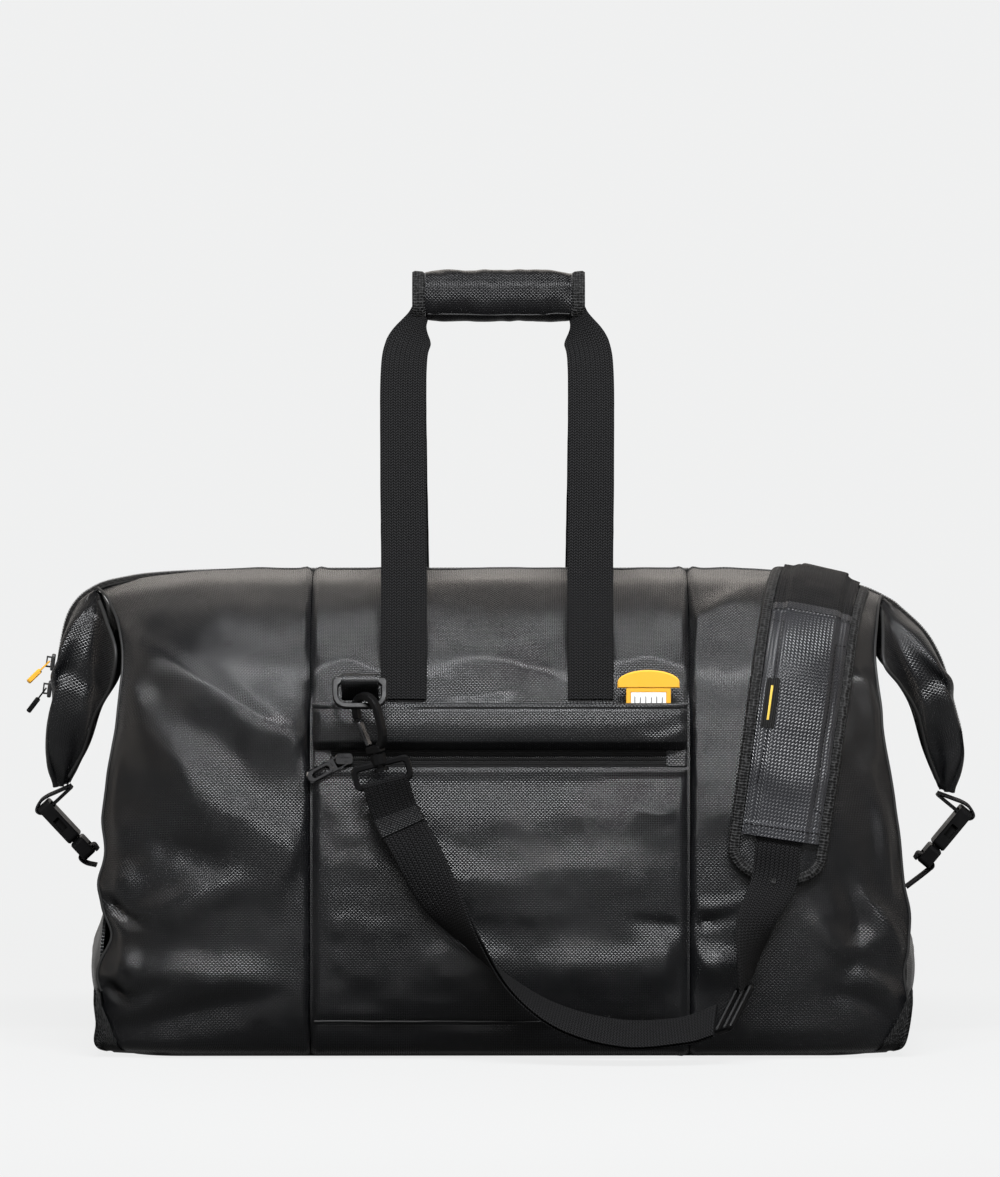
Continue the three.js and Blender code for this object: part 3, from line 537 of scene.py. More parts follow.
TARP = tarpaulin("tarpaulin")
TARP_PAD = tarpaulin("tarpaulin_pad", colour=(0.016, 0.0165, 0.019), roughness=0.35, angle=math.pi / 4, weave=0.0003,
                     period=0.0018)
TARP_GRIP = tarpaulin("tarpaulin_grip", colour=(0.003, 0.003, 0.0035), roughness=0.3, specular=0.24)
BASE = tarpaulin("base_coating", colour=(0.004, 0.004, 0.004), roughness=0.55)
WEBBING = webbing("webbing")
BINDING = knitted("binding_mesh")
TAPE = webbing("zip_tape", colour=(0.004, 0.004, 0.004), rib=0.0008)
COIL = moulded("zip_coil", (0.01, 0.01, 0.01), 0.35)
PLASTIC = moulded("black_plastic", (0.003, 0.003, 0.0032), 0.36, specular=0.16)
YELLOW = moulded("yellow_plastic", (0.83, 0.42, 0.035), 0.38)
CARD = moulded("card", (0.9, 0.9, 0.88), 0.35, grain=0.00001)
INK = moulded("ink", (0.05, 0.05, 0.05), 0.6)
THREAD = moulded("sewing_thread", (0.002, 0.002, 0.002), 0.8, specular=0.15)
# A lighter copy of the tarpaulin for the thin tubes along edges, seams and piping: a painted highlight where rounded
# edges catch the light.
EDGE_HIGHLIGHT = moulded("edge_painted_highlight", (0.016, 0.016, 0.016), 0.55, specular=0.35)
CHROME = moulded("dark_chrome", (0.17, 0.17, 0.175), 0.15, metallic=1.0)
PLATED = moulded("black_plating", (0.03, 0.03, 0.03), 0.35, specular=0.4)
YELLOW_THREAD = moulded("yellow_thread", (0.62, 0.42, 0.05), 0.6)


# ---- folds ----
def fold(x, z, path, up, down, heights, fade=12):
    """A ridge, or a valley where its height is negative, along a path of [x, z] points.

    Its slope is up wide above the path and down wide below it, and it fades out beyond the path's ends."""
    n = 80
    c = catmull(np.asarray(path, float), np.linspace(0, 1, n))
    tangent = np.gradient(c, axis=0)
    tangent /= np.linalg.norm(tangent, axis=1, keepdims=True)
    tangent[tangent[:, 0] < 0] *= -1
    h = np.interp(np.linspace(0, 1, n), np.linspace(0, 1, len(heights)), heights)
    x, z = np.broadcast_arrays(x, z)
    gap = np.stack([x, z], -1).reshape(-1, 1, 2) - c
    near = np.argmin((gap**2).sum(-1), axis=1)
    gap = gap[np.arange(len(near)), near]
    tangent = tangent[near]
    beyond = (gap * tangent).sum(-1)
    off = gap[:, 1] * tangent[:, 0] - gap[:, 0] * tangent[:, 1]
    width = np.where(off > 0, up, down)
    out = h[near] * np.exp(-((off / width) ** 2) - (beyond / fade) ** 2)
    return out.reshape(x.shape)


def folds(x, z, table):
    """The sum of several folds, each a row of fold's own arguments."""
    return sum(fold(x, z, *row) for row in table)


def bump_at(x, z, cx, cz, rx, rz, height):
    return height * np.exp(-(((x - cx) / rx) ** 2) - ((z - cz) / rz) ** 2)


# Each row: the fold's path, its slopes' widths above and below, its heights, and how far it fades out.
LEFT_FOLDS = [
    ([(-258, 292), (-243, 283), (-205, 259), (-166, 234), (-143, 224)], 9, 24, [2, 5, 6.5, 6.5, 3]),
    ([(-268, 262), (-257, 250), (-240, 226), (-216, 199), (-182, 170), (-144, 146)], 17, 30, [2, 6, 7.5, 8.5, 8.5, 5]),
    ([(-205, 326), (-178, 285), (-150, 236)], 20, 26, [1.5, 4, 3], 20),
    ([(-268, 96), (-230, 106), (-195, 120), (-160, 122)], 12, 18, [2, 4, 4.5, 2], 16),
    ([(-262, 58), (-220, 58), (-180, 54), (-142, 47)], 12, 18, [3, 3.5, 3.5, 2], 16),
    ([(-276, 18), (-232, 28), (-190, 40), (-150, 46)], 9, 12, [-2, -4, -3, -1.5], 16),
    ([(-262, 158), (-235, 150), (-205, 142)], 9, 12, [2, -3, -2], 14),
    ([(-274, 106), (-262, 98), (-240, 92)], 5, 6, [-7, -5, -1], 8),
    ([(-274, 47), (-262, 42), (-240, 50)], 5, 6, [-5, -3, -1], 8),
]
RIGHT_FOLDS = [
    ([(134, 72), (150, 68), (174, 66)], 8, 14, [6, 6, 1.5], 8),
    ([(133, 98), (146, 97), (160, 100)], 4, 5, [-4.5, -2.5, -0.8], 6),
    ([(133, 108), (150, 107), (172, 112)], 4, 6, [2.5, 2, 0.5], 6),
    ([(258, 196), (268, 160), (271, 122)], 7, 7, [2, 4.5, 2]),
    ([(256, 112), (268, 96), (281, 76)], 4, 9, [2, 5, 4.5], 8),
    ([(240, 122), (249, 96), (246, 66)], 8, 8, [-2.5, -3.5, -2]),
    ([(222, 92), (242, 76), (262, 82)], 8, 8, [2, 3.5, 2]),
    ([(252, 58), (268, 50), (281, 34)], 6, 8, [2.5, 4, 3], 8),
    ([(236, 45), (256, 38), (276, 20)], 5, 6, [-2, -2.5, -1.5], 8),
    ([(140, 306), (162, 316), (182, 322)], 8, 10, [2, 4, 2]),
    ([(252, 262), (262, 238), (264, 214)], 5, 6, [3, 4, 2], 8),
    ([(176, 214), (196, 190), (232, 168)], 14, 18, [2, 3, 1], 16),
]
CENTRE_FOLDS = [
    ([(-46, 262), (-26, 253), (0, 257), (22, 268)], 8, 7, [2, -2.6, -2.2, 1.2], 10),
    ([(-40, 276), (-12, 280), (20, 272), (44, 262)], 12, 8, [1.2, 2.2, 2.4, 1.5], 12),
    ([(-128, 268), (-108, 277), (-86, 270)], 8, 6, [2, 3, 1.5], 8),
    ([(86, 276), (104, 279), (124, 272)], 8, 6, [1.5, 2.4, 2], 8),
    ([(-118, 316), (-40, 324), (30, 326), (110, 318)], 9, 12, [0.8, 1.5, 0.8, 1.8], 12),
]
BACK_FOLDS = [
    ([(-255, 276), (-215, 240), (-168, 215)], 12, 24, [3, 6, 4]),
    ([(255, 270), (222, 226), (160, 190)], 14, 24, [3, 6.5, 4]),
    ([(-262, 150), (-210, 128), (-150, 122)], 12, 18, [3, 5, 2], 16),
    ([(262, 122), (215, 104), (150, 108)], 12, 18, [3, 5, 2], 16),
    ([(-270, 60), (-220, 50), (-150, 60)], 10, 15, [2, 4, 1.5], 16),
    ([(268, 56), (225, 66), (150, 48)], 10, 15, [2, 4, 1.5], 16),
    ([(-110, 150), (-30, 138), (60, 150), (118, 142)], 16, 22, [2, 4, 3.5, 2], 16),
    ([(-118, 74), (-40, 82), (50, 70), (118, 80)], 14, 20, [2, 3.5, 3, 2], 16),
    ([(-120, 232), (-40, 224), (40, 232), (120, 222)], 12, 16, [1.5, 2.5, 2.5, 1.5], 16),
]


# ---- the bag's panels ----
def drawn_in(z):
    """How far the left side is drawn in between its foot and the buckle."""
    return LEFT_DRAW * smooth(z, 8, 26) * (1 - smooth(z, 140, 168))


def panel(face, part):
    """One of the three front or three back panels: a sheet with its folds, its seams drawn in."""
    fore = -1 if face == "front" else 1
    side = {"left": -1, "centre": 0, "right": 1}[part]
    S, T = grid_of(0, 1, 0, ZIP_T, 66 if side else 107, 166)
    if side:
        u = np.maximum(S if side > 0 else 1 - S, SEAM_INSET / (END_X - SEAM_X))
        p = skin_at(T, u, side)
        edge = np.abs(p[..., 0]) - SEAM_X
        free = (1 - u) * 150
    else:
        p = catmull(MIDDLE, T)
        p[..., 0] = (SEAM_X - SEAM_INSET) * (2 * S - 1)
        edge = SEAM_X - np.abs(p[..., 0])
        free = np.full_like(edge, 99.0)
    x, z = p[..., 0].copy(), p[..., 2].copy()
    outward = normals(p)  # outwards on the front, where x grows to the right as seen from outside
    front = {"left": LEFT_FOLDS, "centre": CENTRE_FOLDS, "right": RIGHT_FOLDS}[part]
    d = folds(x, z, BACK_FOLDS if fore > 0 else front)
    if part == "left" and fore < 0:
        d += bump_at(x, z, -263, 124, 11, 11, 5.5) + bump_at(x, z, -264, 68, 10, 9, 5)
        d += bump_at(x, z, -270, 200, 9, 30, 2.5)
    d = d * smooth(edge, 0, 12) * smooth(free, -6, 10)
    d = d * smooth(z, 0, 16) * smooth(340 - z, 2, 14)
    d += (1.1 * rough(x, z, 34, 5) + 0.5 * rough(x, z, 15, 9)) * smooth(edge, 1, 16) * smooth(z, 4, 20)
    # The seam lies in a groove, and the cloth beside it is puckered by the stitches.
    d += bell(edge, 0, 2.2, -2.4) + bell(edge, 5, 3.2, 0.7)
    d += 0.45 * rough(z * 0.4 + 300, x, 4.2, 3) * bell(edge, 0, 9)
    p = p + outward * d[..., None]
    if part == "left":
        p[..., 0] += drawn_in(z) * u**4
    # The folds draw the front's free edges in and out.
    if part == "left" and fore < 0:
        pull = bell(z, 84, 15, 10) - bell(z, 122, 11, 3) + bell(z, 40, 10, 4)
        p[..., 0] += pull * u**5
    if part == "right" and fore < 0:
        p[..., 0] -= (bell(z, 58, 16, 4) - bell(z, 100, 14, 2.5)) * u**5
    if part == "centre" and fore < 0:
        # Flat and close behind the pocket.
        hold = smooth(z, 14, 30) * (1 - smooth(z, 242, 258))
        flat = catmull(MIDDLE, T)
        flat[..., 0] = p[..., 0]
        p = p * (1 - hold[..., None]) + flat * hold[..., None]
    # The cloth swells a little on each side of the zip.
    p[..., 2] += 1.8 * smooth(T, ZIP_T - 0.075, ZIP_T - 0.03)
    if side:
        # The free edge is traced by a thin tube of the lighter edge material: a painted highlight along the edge.
        rim = p[-1 if side > 0 else 0] * [1, -fore, 1]
        rim = rim[rim[:, 2] > 46] + [side * 0.2, 0, 0]
        place(tube(f"{face}_{part}_rim", rim, 1.0, EDGE_HIGHLIGHT), "bag", "tarpaulin")
    if fore > 0:  # a front sheet turned to the back
        p = (p * [1, -1, 1])[::-1]
    obj = shell(f"{face}_{part}_cloth", p, CLOTH, TARP)
    return place(obj, "bag", "tarpaulin", f"{face}_{part}_panel")


# ---- end panels, narrower than the front and back and tucked in under the wings ----
END_FOLDS = [
    ([(-82, 216), (-40, 186), (6, 176)], 9, 14, [2, 4, 1.5]),
    ([(84, 210), (44, 176), (4, 160)], 9, 14, [2, 4, 1.5]),
    ([(-94, 122), (-50, 110), (0, 118), (56, 106), (96, 118)], 10, 14, [-2, -4, -2.5, -4, -2]),
    ([(-96, 62), (-40, 74), (30, 60), (96, 70)], 10, 14, [1, 2, 2.5, 1]),
    ([(0, 252), (-2, 220), (4, 190)], 5, 5, [-5, -6, -2]),
]


def end_panel(name, side):
    fullness = np.array([[2], [5], [7], [-2], [-12], [-20], [-30], [-42]], float)  # from the foot up
    U, Vv = grid_of(0, 1, 0, 1, 76, 106)
    e = catmull(END if side < 0 else RIGHT_END, Vv * 7 / 20)
    w = 2 * U - 1
    bulge = catmull(fullness, Vv)[..., 0]
    x = e[..., 0] - 2.2 + bulge * (1 - w**4)
    p = np.stack([side * x, -side * w * (e[..., 1] + (5 if side < 0 else 6.5)), np.maximum(e[..., 2], 2.6)], -1)
    across, z = p[..., 1].copy(), p[..., 2]
    d = folds(across, z, END_FOLDS)
    d += 1.0 * rough(across, z, 24, 17) + 0.4 * rough(across, z, 9, 21)
    rim = smooth(1 - np.abs(w), 0, 0.12)
    p[..., 0] += side * d * rim * smooth(z, 4, 20)
    if side < 0:
        p[..., 0] += drawn_in(z)
    obj = shell(f"{name}_end_cloth", p, CLOTH, TARP)
    place(obj, "bag", "tarpaulin", f"{name}_end_panel")


for NAME, SIDE in (("left", -1), ("right", 1)):
    end_panel(NAME, SIDE)


# ---- base ----
def rounded_outline(w, h, r, n):
    """Points round a rounded rectangle, n at each corner."""
    out = []
    cx, cy = w / 2 - r, h / 2 - r
    for corner_x, corner_y, turn in ((cx, cy, 0), (-cx, cy, 90), (-cx, -cy, 180), (cx, -cy, 270)):
        for k in range(n):
            q = math.radians(turn + 90 * k / (n - 1))
            out.append((corner_x + r * math.cos(q), corner_y + r * math.sin(q)))
    return np.array(out)


def base():
    rim = rounded_outline(2 * 268, 2 * 114, 41, 12)
    rings = np.concatenate([np.linspace(0.02, 0.9, 22), [0.94, 0.965, 0.985, 1.0]])
    grid = np.empty((len(rim), len(rings), 3))
    for j, q in enumerate(rings):
        grid[:, j, :2] = rim * q
        x, y = grid[:, j, 0], grid[:, j, 1]
        sink = 0.5 + 0.35 * rough(x, y, 42, 31) + bell(q, 0.955, 0.012, 0.6)
        grid[:, j, 2] = np.where(q > 0.99, 1.2, np.clip(sink, 0.05, 1.9))
    outer = grid[:, ::-1]
    obj = shell("base_cloth", outer, 1.6, BASE, closed_u=True, inner=outer * [1, 1, 0] + [0, 0, 2.4])
    place(obj, "bag", "base_coating", "base_panel")


base()


# ---- mesh corner patches ----
def corner(fore_name, fore, name, side):
    us = np.concatenate([np.linspace(0.91, 1, 15), np.linspace(1.03, 1.3, 15)])
    vs = np.linspace(0, 1, 26)

    def points(off):
        grid = np.empty((len(us), len(vs), 3))
        for i, u in enumerate(us):
            top = 0.05 + 0.038 * (u - 0.91) / 0.09 if u < 1 else 0.088
            ts = 0.012 + (top - 0.012) * vs
            e = catmull(END, ts)
            if u <= 1:
                p = skin_at(ts, np.full_like(ts, min(1, u)), -1)
                grid[i] = np.column_stack([-p[:, 0] + off * 0.4, -p[:, 1] + off * 0.92, e[:, 2]])
            else:
                k = (u - 1.1) * 80
                grid[i] = np.column_stack([e[:, 0] + off + 0.8, -e[:, 1] + off * 0.3 - k, e[:, 2]])
            if side < 0:
                grid[i, :, 0] -= LEFT_DRAW * smooth(grid[i, :, 2], 8, 26) * min(u, 1) ** 4
        return grid * [side, fore, 1]

    outer = points(2.1)
    soft = outer.copy()
    for _ in range(3):  # round the fold at the corner
        soft[1:-1] = (outer[:-2] + 2 * outer[1:-1] + outer[2:]) / 4
        outer = soft.copy()
    u = np.linspace(0, 1, len(us))[:, None]
    rim = np.minimum(smooth(u, 0, 0.08), smooth(1 - u, 0, 0.08)) * smooth(1 - vs, 0, 0.12)[None]
    inner = points(0.9)
    outer = inner + (outer - inner) * (0.35 + 0.65 * rim)[..., None]
    if side * fore < 0:
        outer, inner = outer[::-1], inner[::-1]
    obj = shell(f"{fore_name}_{name}_mesh", outer, 1, BINDING, inner=inner)
    place(obj, "bag", "binding_mesh", f"{fore_name}_{name}_corner")


for FORE_NAME, FORE in (("front", -1), ("back", 1)):
    for NAME, SIDE in (("left", -1), ("right", 1)):
        corner(FORE_NAME, FORE, NAME, SIDE)


for FACE in ("front", "back"):
    for PART in ("left", "centre", "right"):
        panel(FACE, PART)


# ---- front pocket ----
POCKET = {"hem": 249, "bandFoot": 216, "zipFoot": 204, "seam": 26, "half": 130, "back": 142}
GAP = 0.4


POCKET_FOLDS = [
    ([(-128, 136), (-60, 130), (0, 124), (60, 132), (128, 128)], 17, 26, [1.5, 3.2, 3.6, 3, 1.5], 20),
    ([(-100, 72), (-20, 68), (60, 64), (112, 70), (131, 78)], 14, 22, [0.8, 2.4, 4, 4.4, 2], 14),
    ([(96, 97), (116, 95), (131, 93)], 5, 6, [-1, -2.4, -3.4], 8),
    ([(-126, 176), (-30, 172), (60, 176), (128, 168)], 12, 16, [0.8, 1.4, 1.6, 0.8], 14),
    ([(100, 176), (112, 172), (124, 170)], 5, 6, [1.4, 1.6, 0.8], 7),
    ([(-118, 98), (-90, 92), (-60, 94)], 8, 10, [1, 1.6, 0.6], 10),
]


def pocket():
    half, foot, hem = POCKET["half"], POCKET["bandFoot"] + GAP, POCKET["hem"]
    x, z = grid_of(-half, half, foot, hem, 131, 34)
    u, v = (x + half) / (2 * half), (z - foot) / (hem - foot)
    back = depth_at(z) + GAP + 0.2
    back = back + (POCKET["back"] - back) * np.clip((z - POCKET["bandFoot"]) / 6, 0, 1)
    puff = 3 + 4 * np.sin(math.pi * v) ** 0.7 * (1 - (2 * u - 1) ** 8)
    y = back + puff
    y += 0.5 * rough(x, z, 22, 41) * np.sin(math.pi * v)
    y += fold(x, z, [(90, 228), (108, 224), (128, 230)], 4, 5, [0, 1.2, 1.6], 6)
    y -= bell(np.minimum(half - np.abs(x), 9), 0, 2, 1.6)
    y += bell(hem - z, 1.4, 1.3, 0.9) - bell(hem - z, 4.2, 0.9, 0.5)
    # It stays clear of the swivelling hook.
    y -= np.maximum(y - (back + puff - 0.35), 0) * np.exp(-(((x + 88) / 26) ** 4))
    outer = np.stack([x, -y, z], -1)
    inner = np.stack([x, -back, z], -1)
    place(shell("pocket_band_cloth", outer, 1, TARP, inner=inner), "bag", "tarpaulin", "pocket_band")

    low, high = POCKET["seam"], POCKET["zipFoot"]
    x, z = grid_of(-half, half, low, high, 131, 104)
    u, v = (x + half) / (2 * half), (z - low) / (high - low)
    off = GAP + 2.6 + 4 * (np.sin(math.pi * u) * np.sin(math.pi * v)) ** 0.5
    d = folds(x, z, POCKET_FOLDS)
    d += 0.9 * rough(x, z, 30, 51) + 0.35 * rough(x, z, 11, 57)
    edge = half - np.abs(x)
    d *= smooth(edge, 0, 16) * smooth(z - low, 1, 16) * smooth(high - z, 2, 12)
    off = off + d
    off -= bell(edge, 0, 2.2, 1.7) * smooth(high - z, 0, 6)
    off += bell(high - z, 2.2, 2.6, 1.3) - bell(high - z, 7, 1.6, 0.4)
    off -= bell(z, low, 3, 1.5)
    off = np.maximum(off, GAP + 0.9)
    body = depth_at(z)
    # The cloth stays flat just under the zip, where the pull slides over it.
    clear = 141.7 + 0.45 * np.maximum(193 - z, 0)
    off = np.minimum(off, clear - body)
    outer = on_front(x, z, off)
    inner = np.stack([x, -(body + GAP + 0.2), z], -1)
    place(shell("pocket_cloth", outer, 1, TARP, inner=inner), "bag", "tarpaulin", "pocket_panel")
    # A thin tube of the lighter edge material along the foot seam: a painted highlight on the seam.
    xs = np.linspace(-half + 1, half - 1, 120)
    zs = low + 0.9 + 0.4 * rough(xs, 0 * xs, 14, 23)
    place(tube("pocket_foot_edge", on_front(xs, zs, GAP + 1.5), 0.75, EDGE_HIGHLIGHT), "bag", "tarpaulin")


pocket()


def coil(name, line, out, across, pitch=1.5, reach=2.2, wire=0.42):
    """A zip's coil: two rows of loops that meet along a line."""
    line = np.asarray(line, float)
    run = run_along(line)
    count = int(run[-1] / pitch)
    s = (np.arange(count) + 0.5) * run[-1] / count
    foot = at_run(line, run, s)
    way = unit(np.gradient(foot, axis=0))
    o = unit(at_run(np.asarray(out), run, s))
    c = np.broadcast_to(np.asarray(across, float), o.shape)
    points, faces = [], []
    for k in range(count):
        for side in (1, -1):
            shift = way[k] * (pitch * 0.25 * side)
            start = len(points)
            for r, h, w in ((0.25, 0.55, 0.8), (reach * 0.55, 0.75, 1.0), (reach, 0.1, 0.85)):
                centre = foot[k] + shift + c[k] * (side * r - side * 0.5) + o[k] * (h * 0.7)
                for a, b in ((1, 1), (1, -1), (-1, -1), (-1, 1)):
                    points.append(centre + way[k] * (a * wire * 0.55 * w) + o[k] * (b * wire * w))
            faces += chain_faces(start, 3, 4)
    return place(mesh_object(name, points, faces, COIL, sharp=70), "bag", "zip_tape")


def pocket_zip():
    half = POCKET["half"]
    x, z = grid_of(-half, half, POCKET["zipFoot"] + GAP, POCKET["bandFoot"] - 0.1, 105, 17)
    middle = (POCKET["zipFoot"] + POCKET["bandFoot"]) / 2
    off = GAP + 1.15 + 0.25 * np.exp(-((np.abs(z - middle) - 3.2) / 0.8) ** 2)
    off -= 0.3 * np.exp(-((z - middle) / 0.7) ** 2)
    # The tape's ribs run along the zip, so its length is the UV's second number.
    outer, inner = (np.swapaxes(on_front(x, z, o), 0, 1)[::-1] for o in (off, GAP + 0.2))
    obj = shell("pocket_zip_tape", outer, 1, TAPE, inner=inner)
    place(obj, "bag", "zip_tape", "pocket_zip")
    xs = np.linspace(-126, 117, 200)
    y = -(depth_at(middle) + GAP + 1.1)
    line = np.stack([xs, 0 * xs + y, 0 * xs + middle], -1)
    coil("pocket_coil", line, np.tile([0, -1, 0], (200, 1)), (0, 0, 1))
    for end, x0, x1 in (("right", 115.5, 129.5), ("left", -129.5, -117)):
        x, z = grid_of(x0, x1, POCKET["zipFoot"] + 0.7, POCKET["bandFoot"] - 0.3, 12, 12)
        u = np.minimum(x - x0, x1 - x)
        off = GAP + 2.6 + 0.5 * smooth(u, 0, 2) + 0.15 * rough(x, z, 4, 3)
        place(shell(f"zip_end_{end}", on_front(x, z, off), 0.9, TARP), "bag", "tarpaulin")


pocket_zip()


# ---- wings ----
# From the top corner to the tip: ridge x, z; then fullest, hollow and edge points.
WING = {
    "left": np.array([
        [287.5, 321, 285, 13, 319.5, 284, 17, 317.5, 284, 22, 316],
        [298.5, 312, 294.5, 28, 307, 284, 32, 303.5, 277, 48, 301],
        [306, 298, 306, 36, 291, 286, 38, 284, 269.5, 70, 280],
        [311, 273, 314, 37, 266, 289, 38, 258, 273, 66, 256],
        [314.5, 246, 317.5, 32, 240, 294, 32, 235, 284.5, 48, 235],
        [319.5, 212, 320, 23, 209, 302, 20, 207, 293.5, 27, 208],
        [317, 181, 312, 12, 181, 309, 10, 182, 307, 12, 184],
    ], float),
    "right": np.array([
        [272.5, 314.5, 270.5, 13, 313, 269.5, 17, 311, 269.5, 22, 309.5],
        [286, 303.5, 282, 28, 298.5, 275, 32, 295.5, 269.5, 48, 293],
        [301, 288.5, 300, 36, 281, 282, 38, 275, 269.5, 70, 272],
        [312, 268, 314.5, 37, 261, 294, 38, 253, 281, 62, 256],
        [319, 243, 322, 32, 237, 303, 32, 232, 293, 46, 236],
        [326.5, 210, 327.5, 23, 207, 312, 20, 205, 302, 27, 205],
        [322.5, 177, 317.5, 12, 177, 314.5, 10, 178, 312, 12, 180],
    ], float),
}
WING_RIDGE = {k: np.column_stack([w[:, 0], 0 * w[:, 0], w[:, 1]]) for k, w in WING.items()}


def wing(name, side):
    nv, half_n = 96, 40
    v = np.linspace(0, 1, nv)
    ridge_ = catmull(WING_RIDGE[name], v)
    full, hollow, edge = (catmull(WING[name][:, k:k + 3], v) for k in (2, 5, 8))
    near = np.stack([ridge_[:, 0] - 1, np.minimum(13.2, full[:, 1] * 0.75), ridge_[:, 2]], -1)
    grid = np.empty((2 * half_n + 1, nv, 3))
    w = np.linspace(0, 1, 2 * half_n + 1)
    for j in range(nv):
        half = [near[j], full[j], hollow[j], edge[j]]
        other = [p * [1, -1, 1] for p in half][::-1]
        grid[:, j] = catmull([*other, ridge_[j], *half], w)
    # Creases gather towards the tip, where the buckle's webbing pulls the cloth together.
    W, Vv = np.meshgrid(2 * w - 1, v, indexing="ij")
    n = normals(grid)
    if (n[half_n, nv // 2] * [1, 0, 0]).sum() < 0:
        n = -n
    a = np.abs(W)
    gather = smooth(Vv, 0.45, 0.95)
    d = 2.6 * gather * np.cos(a * 17 + 0.8) * smooth(a, 0.1, 0.3) * (1 - 0.6 * smooth(Vv, 0.93, 1))
    crease = a - (0.62 - 0.36 * smooth(Vv, 0.42, 0.82))
    d += bell(crease, 0, 0.06, -3.4) * smooth(Vv, 0.3, 0.55) * (1 - smooth(Vv, 0.86, 1))
    d += bell(crease, -0.11, 0.07, 2.2) * smooth(Vv, 0.3, 0.6) * (1 - smooth(Vv, 0.86, 1))
    kink = Vv - (0.40 + 0.16 * a)
    d += bell(kink, 0, 0.05, -2.0) * smooth(a, 0.26, 0.5) * (1 - smooth(a, 0.75, 0.95))
    d += 1.2 * rough(grid[..., 1] * np.where(W > 0, 1, 0.9), grid[..., 2], 19, 61 + side) * smooth(a, 0.15, 0.35)
    d *= smooth(1 - a, 0, 0.05) * 0.7 + 0.3
    d *= smooth(Vv, 0, 0.1)
    grid = grid + n * d[..., None]
    grid[..., 0] *= side
    if side < 0:
        grid = grid[::-1]
    outward = normals(grid)
    if outward[half_n, nv // 2, 0] * side < 0:
        grid = grid[::-1]
    obj = shell(f"{name}_wing_cloth", grid, 1.6, TARP)
    place(obj, "bag", "tarpaulin", f"{name}_wing")
    # Piping runs along both free edges, round the opening between the wing and the bag; its lighter colour is a
    # painted highlight.
    for which, line, inside in (("fore", grid[0], grid[1]), ("rear", grid[-1], grid[-2])):
        piping = tube(f"{name}_wing_binding_{which}", (line + unit(line - inside) * 0.3)[3:-3], 1.35, EDGE_HIGHLIGHT)
        place(piping, "bag", "tarpaulin")


for NAME, SIDE in (("left", -1), ("right", 1)):
    wing(NAME, SIDE)


# ---- main zip over the top, from wing tip to wing tip ----
def main_zip():
    half_tape = 13.2
    v = np.array([0.86 + (0.05 - 0.86) * k / 11 for k in range(12)])  # up the wing from near its tip
    tops = {
        "left": [[281, 0, 324.6], [266, 0, 328.2], [246, 0, 331.2], [205, 0, 333.4], [140, 0, 334.3], [70, 0, 334.5]],
        "right": [[263, 0, 319.4], [252, 0, 323], [234, 0, 327.6], [205, 0, 331.8], [140, 0, 334.2], [70, 0, 334.5]],
    }
    halves = {}
    for name, top in tops.items():
        ridge_ = WING_RIDGE[name]
        way = unit(catmull(ridge_, v + 1e-3) - catmull(ridge_, v - 1e-3))
        halves[name] = np.vstack([catmull(ridge_, v) + 0.9 * np.column_stack([-way[:, 2], 0 * v, way[:, 0]]), top])
    line = np.vstack([halves["left"] * [-1, 1, 1], [[0, 0, 334.5]], halves["right"][::-1]])
    t = np.linspace(0, 1, 560)
    path = catmull(line, t)
    along = unit(np.gradient(path, axis=0))
    out = np.column_stack([-along[:, 2], 0 * t, along[:, 0]])
    w = np.linspace(-1, 1, 27)[:, None, None]
    # The tape dips a little towards its stitched edges and has a cord along its middle.
    lift = 0.15 - 2.1 * smooth(np.abs(w), 0.45, 1) + bell(np.abs(w), 0.3, 0.07, 0.35) - bell(w, 0, 0.05, 0.3)
    middle = path[None] + np.array([0, 1, 0]) * (w * half_tape)
    outer = middle + out[None] * (lift + 0.2)
    inner = middle - out[None] * (0.5 + 2.0 * smooth(np.abs(w), 0.35, 0.8))
    obj = shell("main_zip_tape", outer, 1, TAPE, inner=inner)
    place(obj, "bag", "zip_tape", "main_zip")
    coil("main_coil", path[6:-6] + out[6:-6] * 0.35, out[6:-6], (0, 1, 0), pitch=1.9, reach=2.9, wire=0.55)
    for s in (-1, 1):
        for q in (10.6, 7.8):
            low = 0.5 - 2.1 * smooth(q / half_tape, 0.45, 1)
            line = (path + out * low + np.array([0, s * q, 0]))[8:-8]
            stitches(f"zip_stitch_{'front' if s < 0 else 'rear'}_{int(q)}", [line], length=3.0, gap=1.2, radius=0.22)


main_zip()


# ---- handles ----
WEB, WEB_T = 32, 1.6
LEG_X = {"left": -67, "right": 63}
GRIP = {"x": -1, "z": 527, "length": 122, "height": 35, "depth": 27}


def handle_stations(way, x):
    top = GRIP["z"] - 10
    inward = 1 if GRIP["x"] > x else -1
    end = GRIP["x"] - inward * (GRIP["length"] / 2 - 6)
    foot = way * (depth_at(POCKET["hem"]) + 1.6)
    return [
        ((x, foot, POCKET["hem"] + 2), (1, 0, 0)),
        ((x, way * 116, 290), (1, 0, 0)),
        ((x, way * 95, 338), (1, 0, 0)),
        ((x - inward, way * 62, 410), (1, 0, 0)),
        ((x - inward, way * 28, 476), (1, 0, 0)),
        ((x + (end - x) * 0.3, way * 13, 498), (0.96, way * 0.2, inward * -0.2)),
        ((end, way * 8, top), (0.62, way * 0.25, inward * -0.72)),
    ]


def handles():
    for face, way in (("front", -1), ("back", 1)):
        for name, x in LEG_X.items():
            s = handle_stations(way, x)
            obj = ribbon(f"{face}_{name}_web", s, WEB, WEB_T, WEBBING, nv=260, wave=0.5, seed=71 + way, gather=0.5)
            place(obj, f"{face}_handle", "webbing", f"{face}_{name}_leg")


handles()


FLAP = math.radians(219)  # where the grip's flap ends, low on the front


def flap_wander(s):
    """How far the flap's edge strays along the grip."""
    return 2.0 * rough(s, 0 * s, 11, 87) * smooth(s, -30, 20)


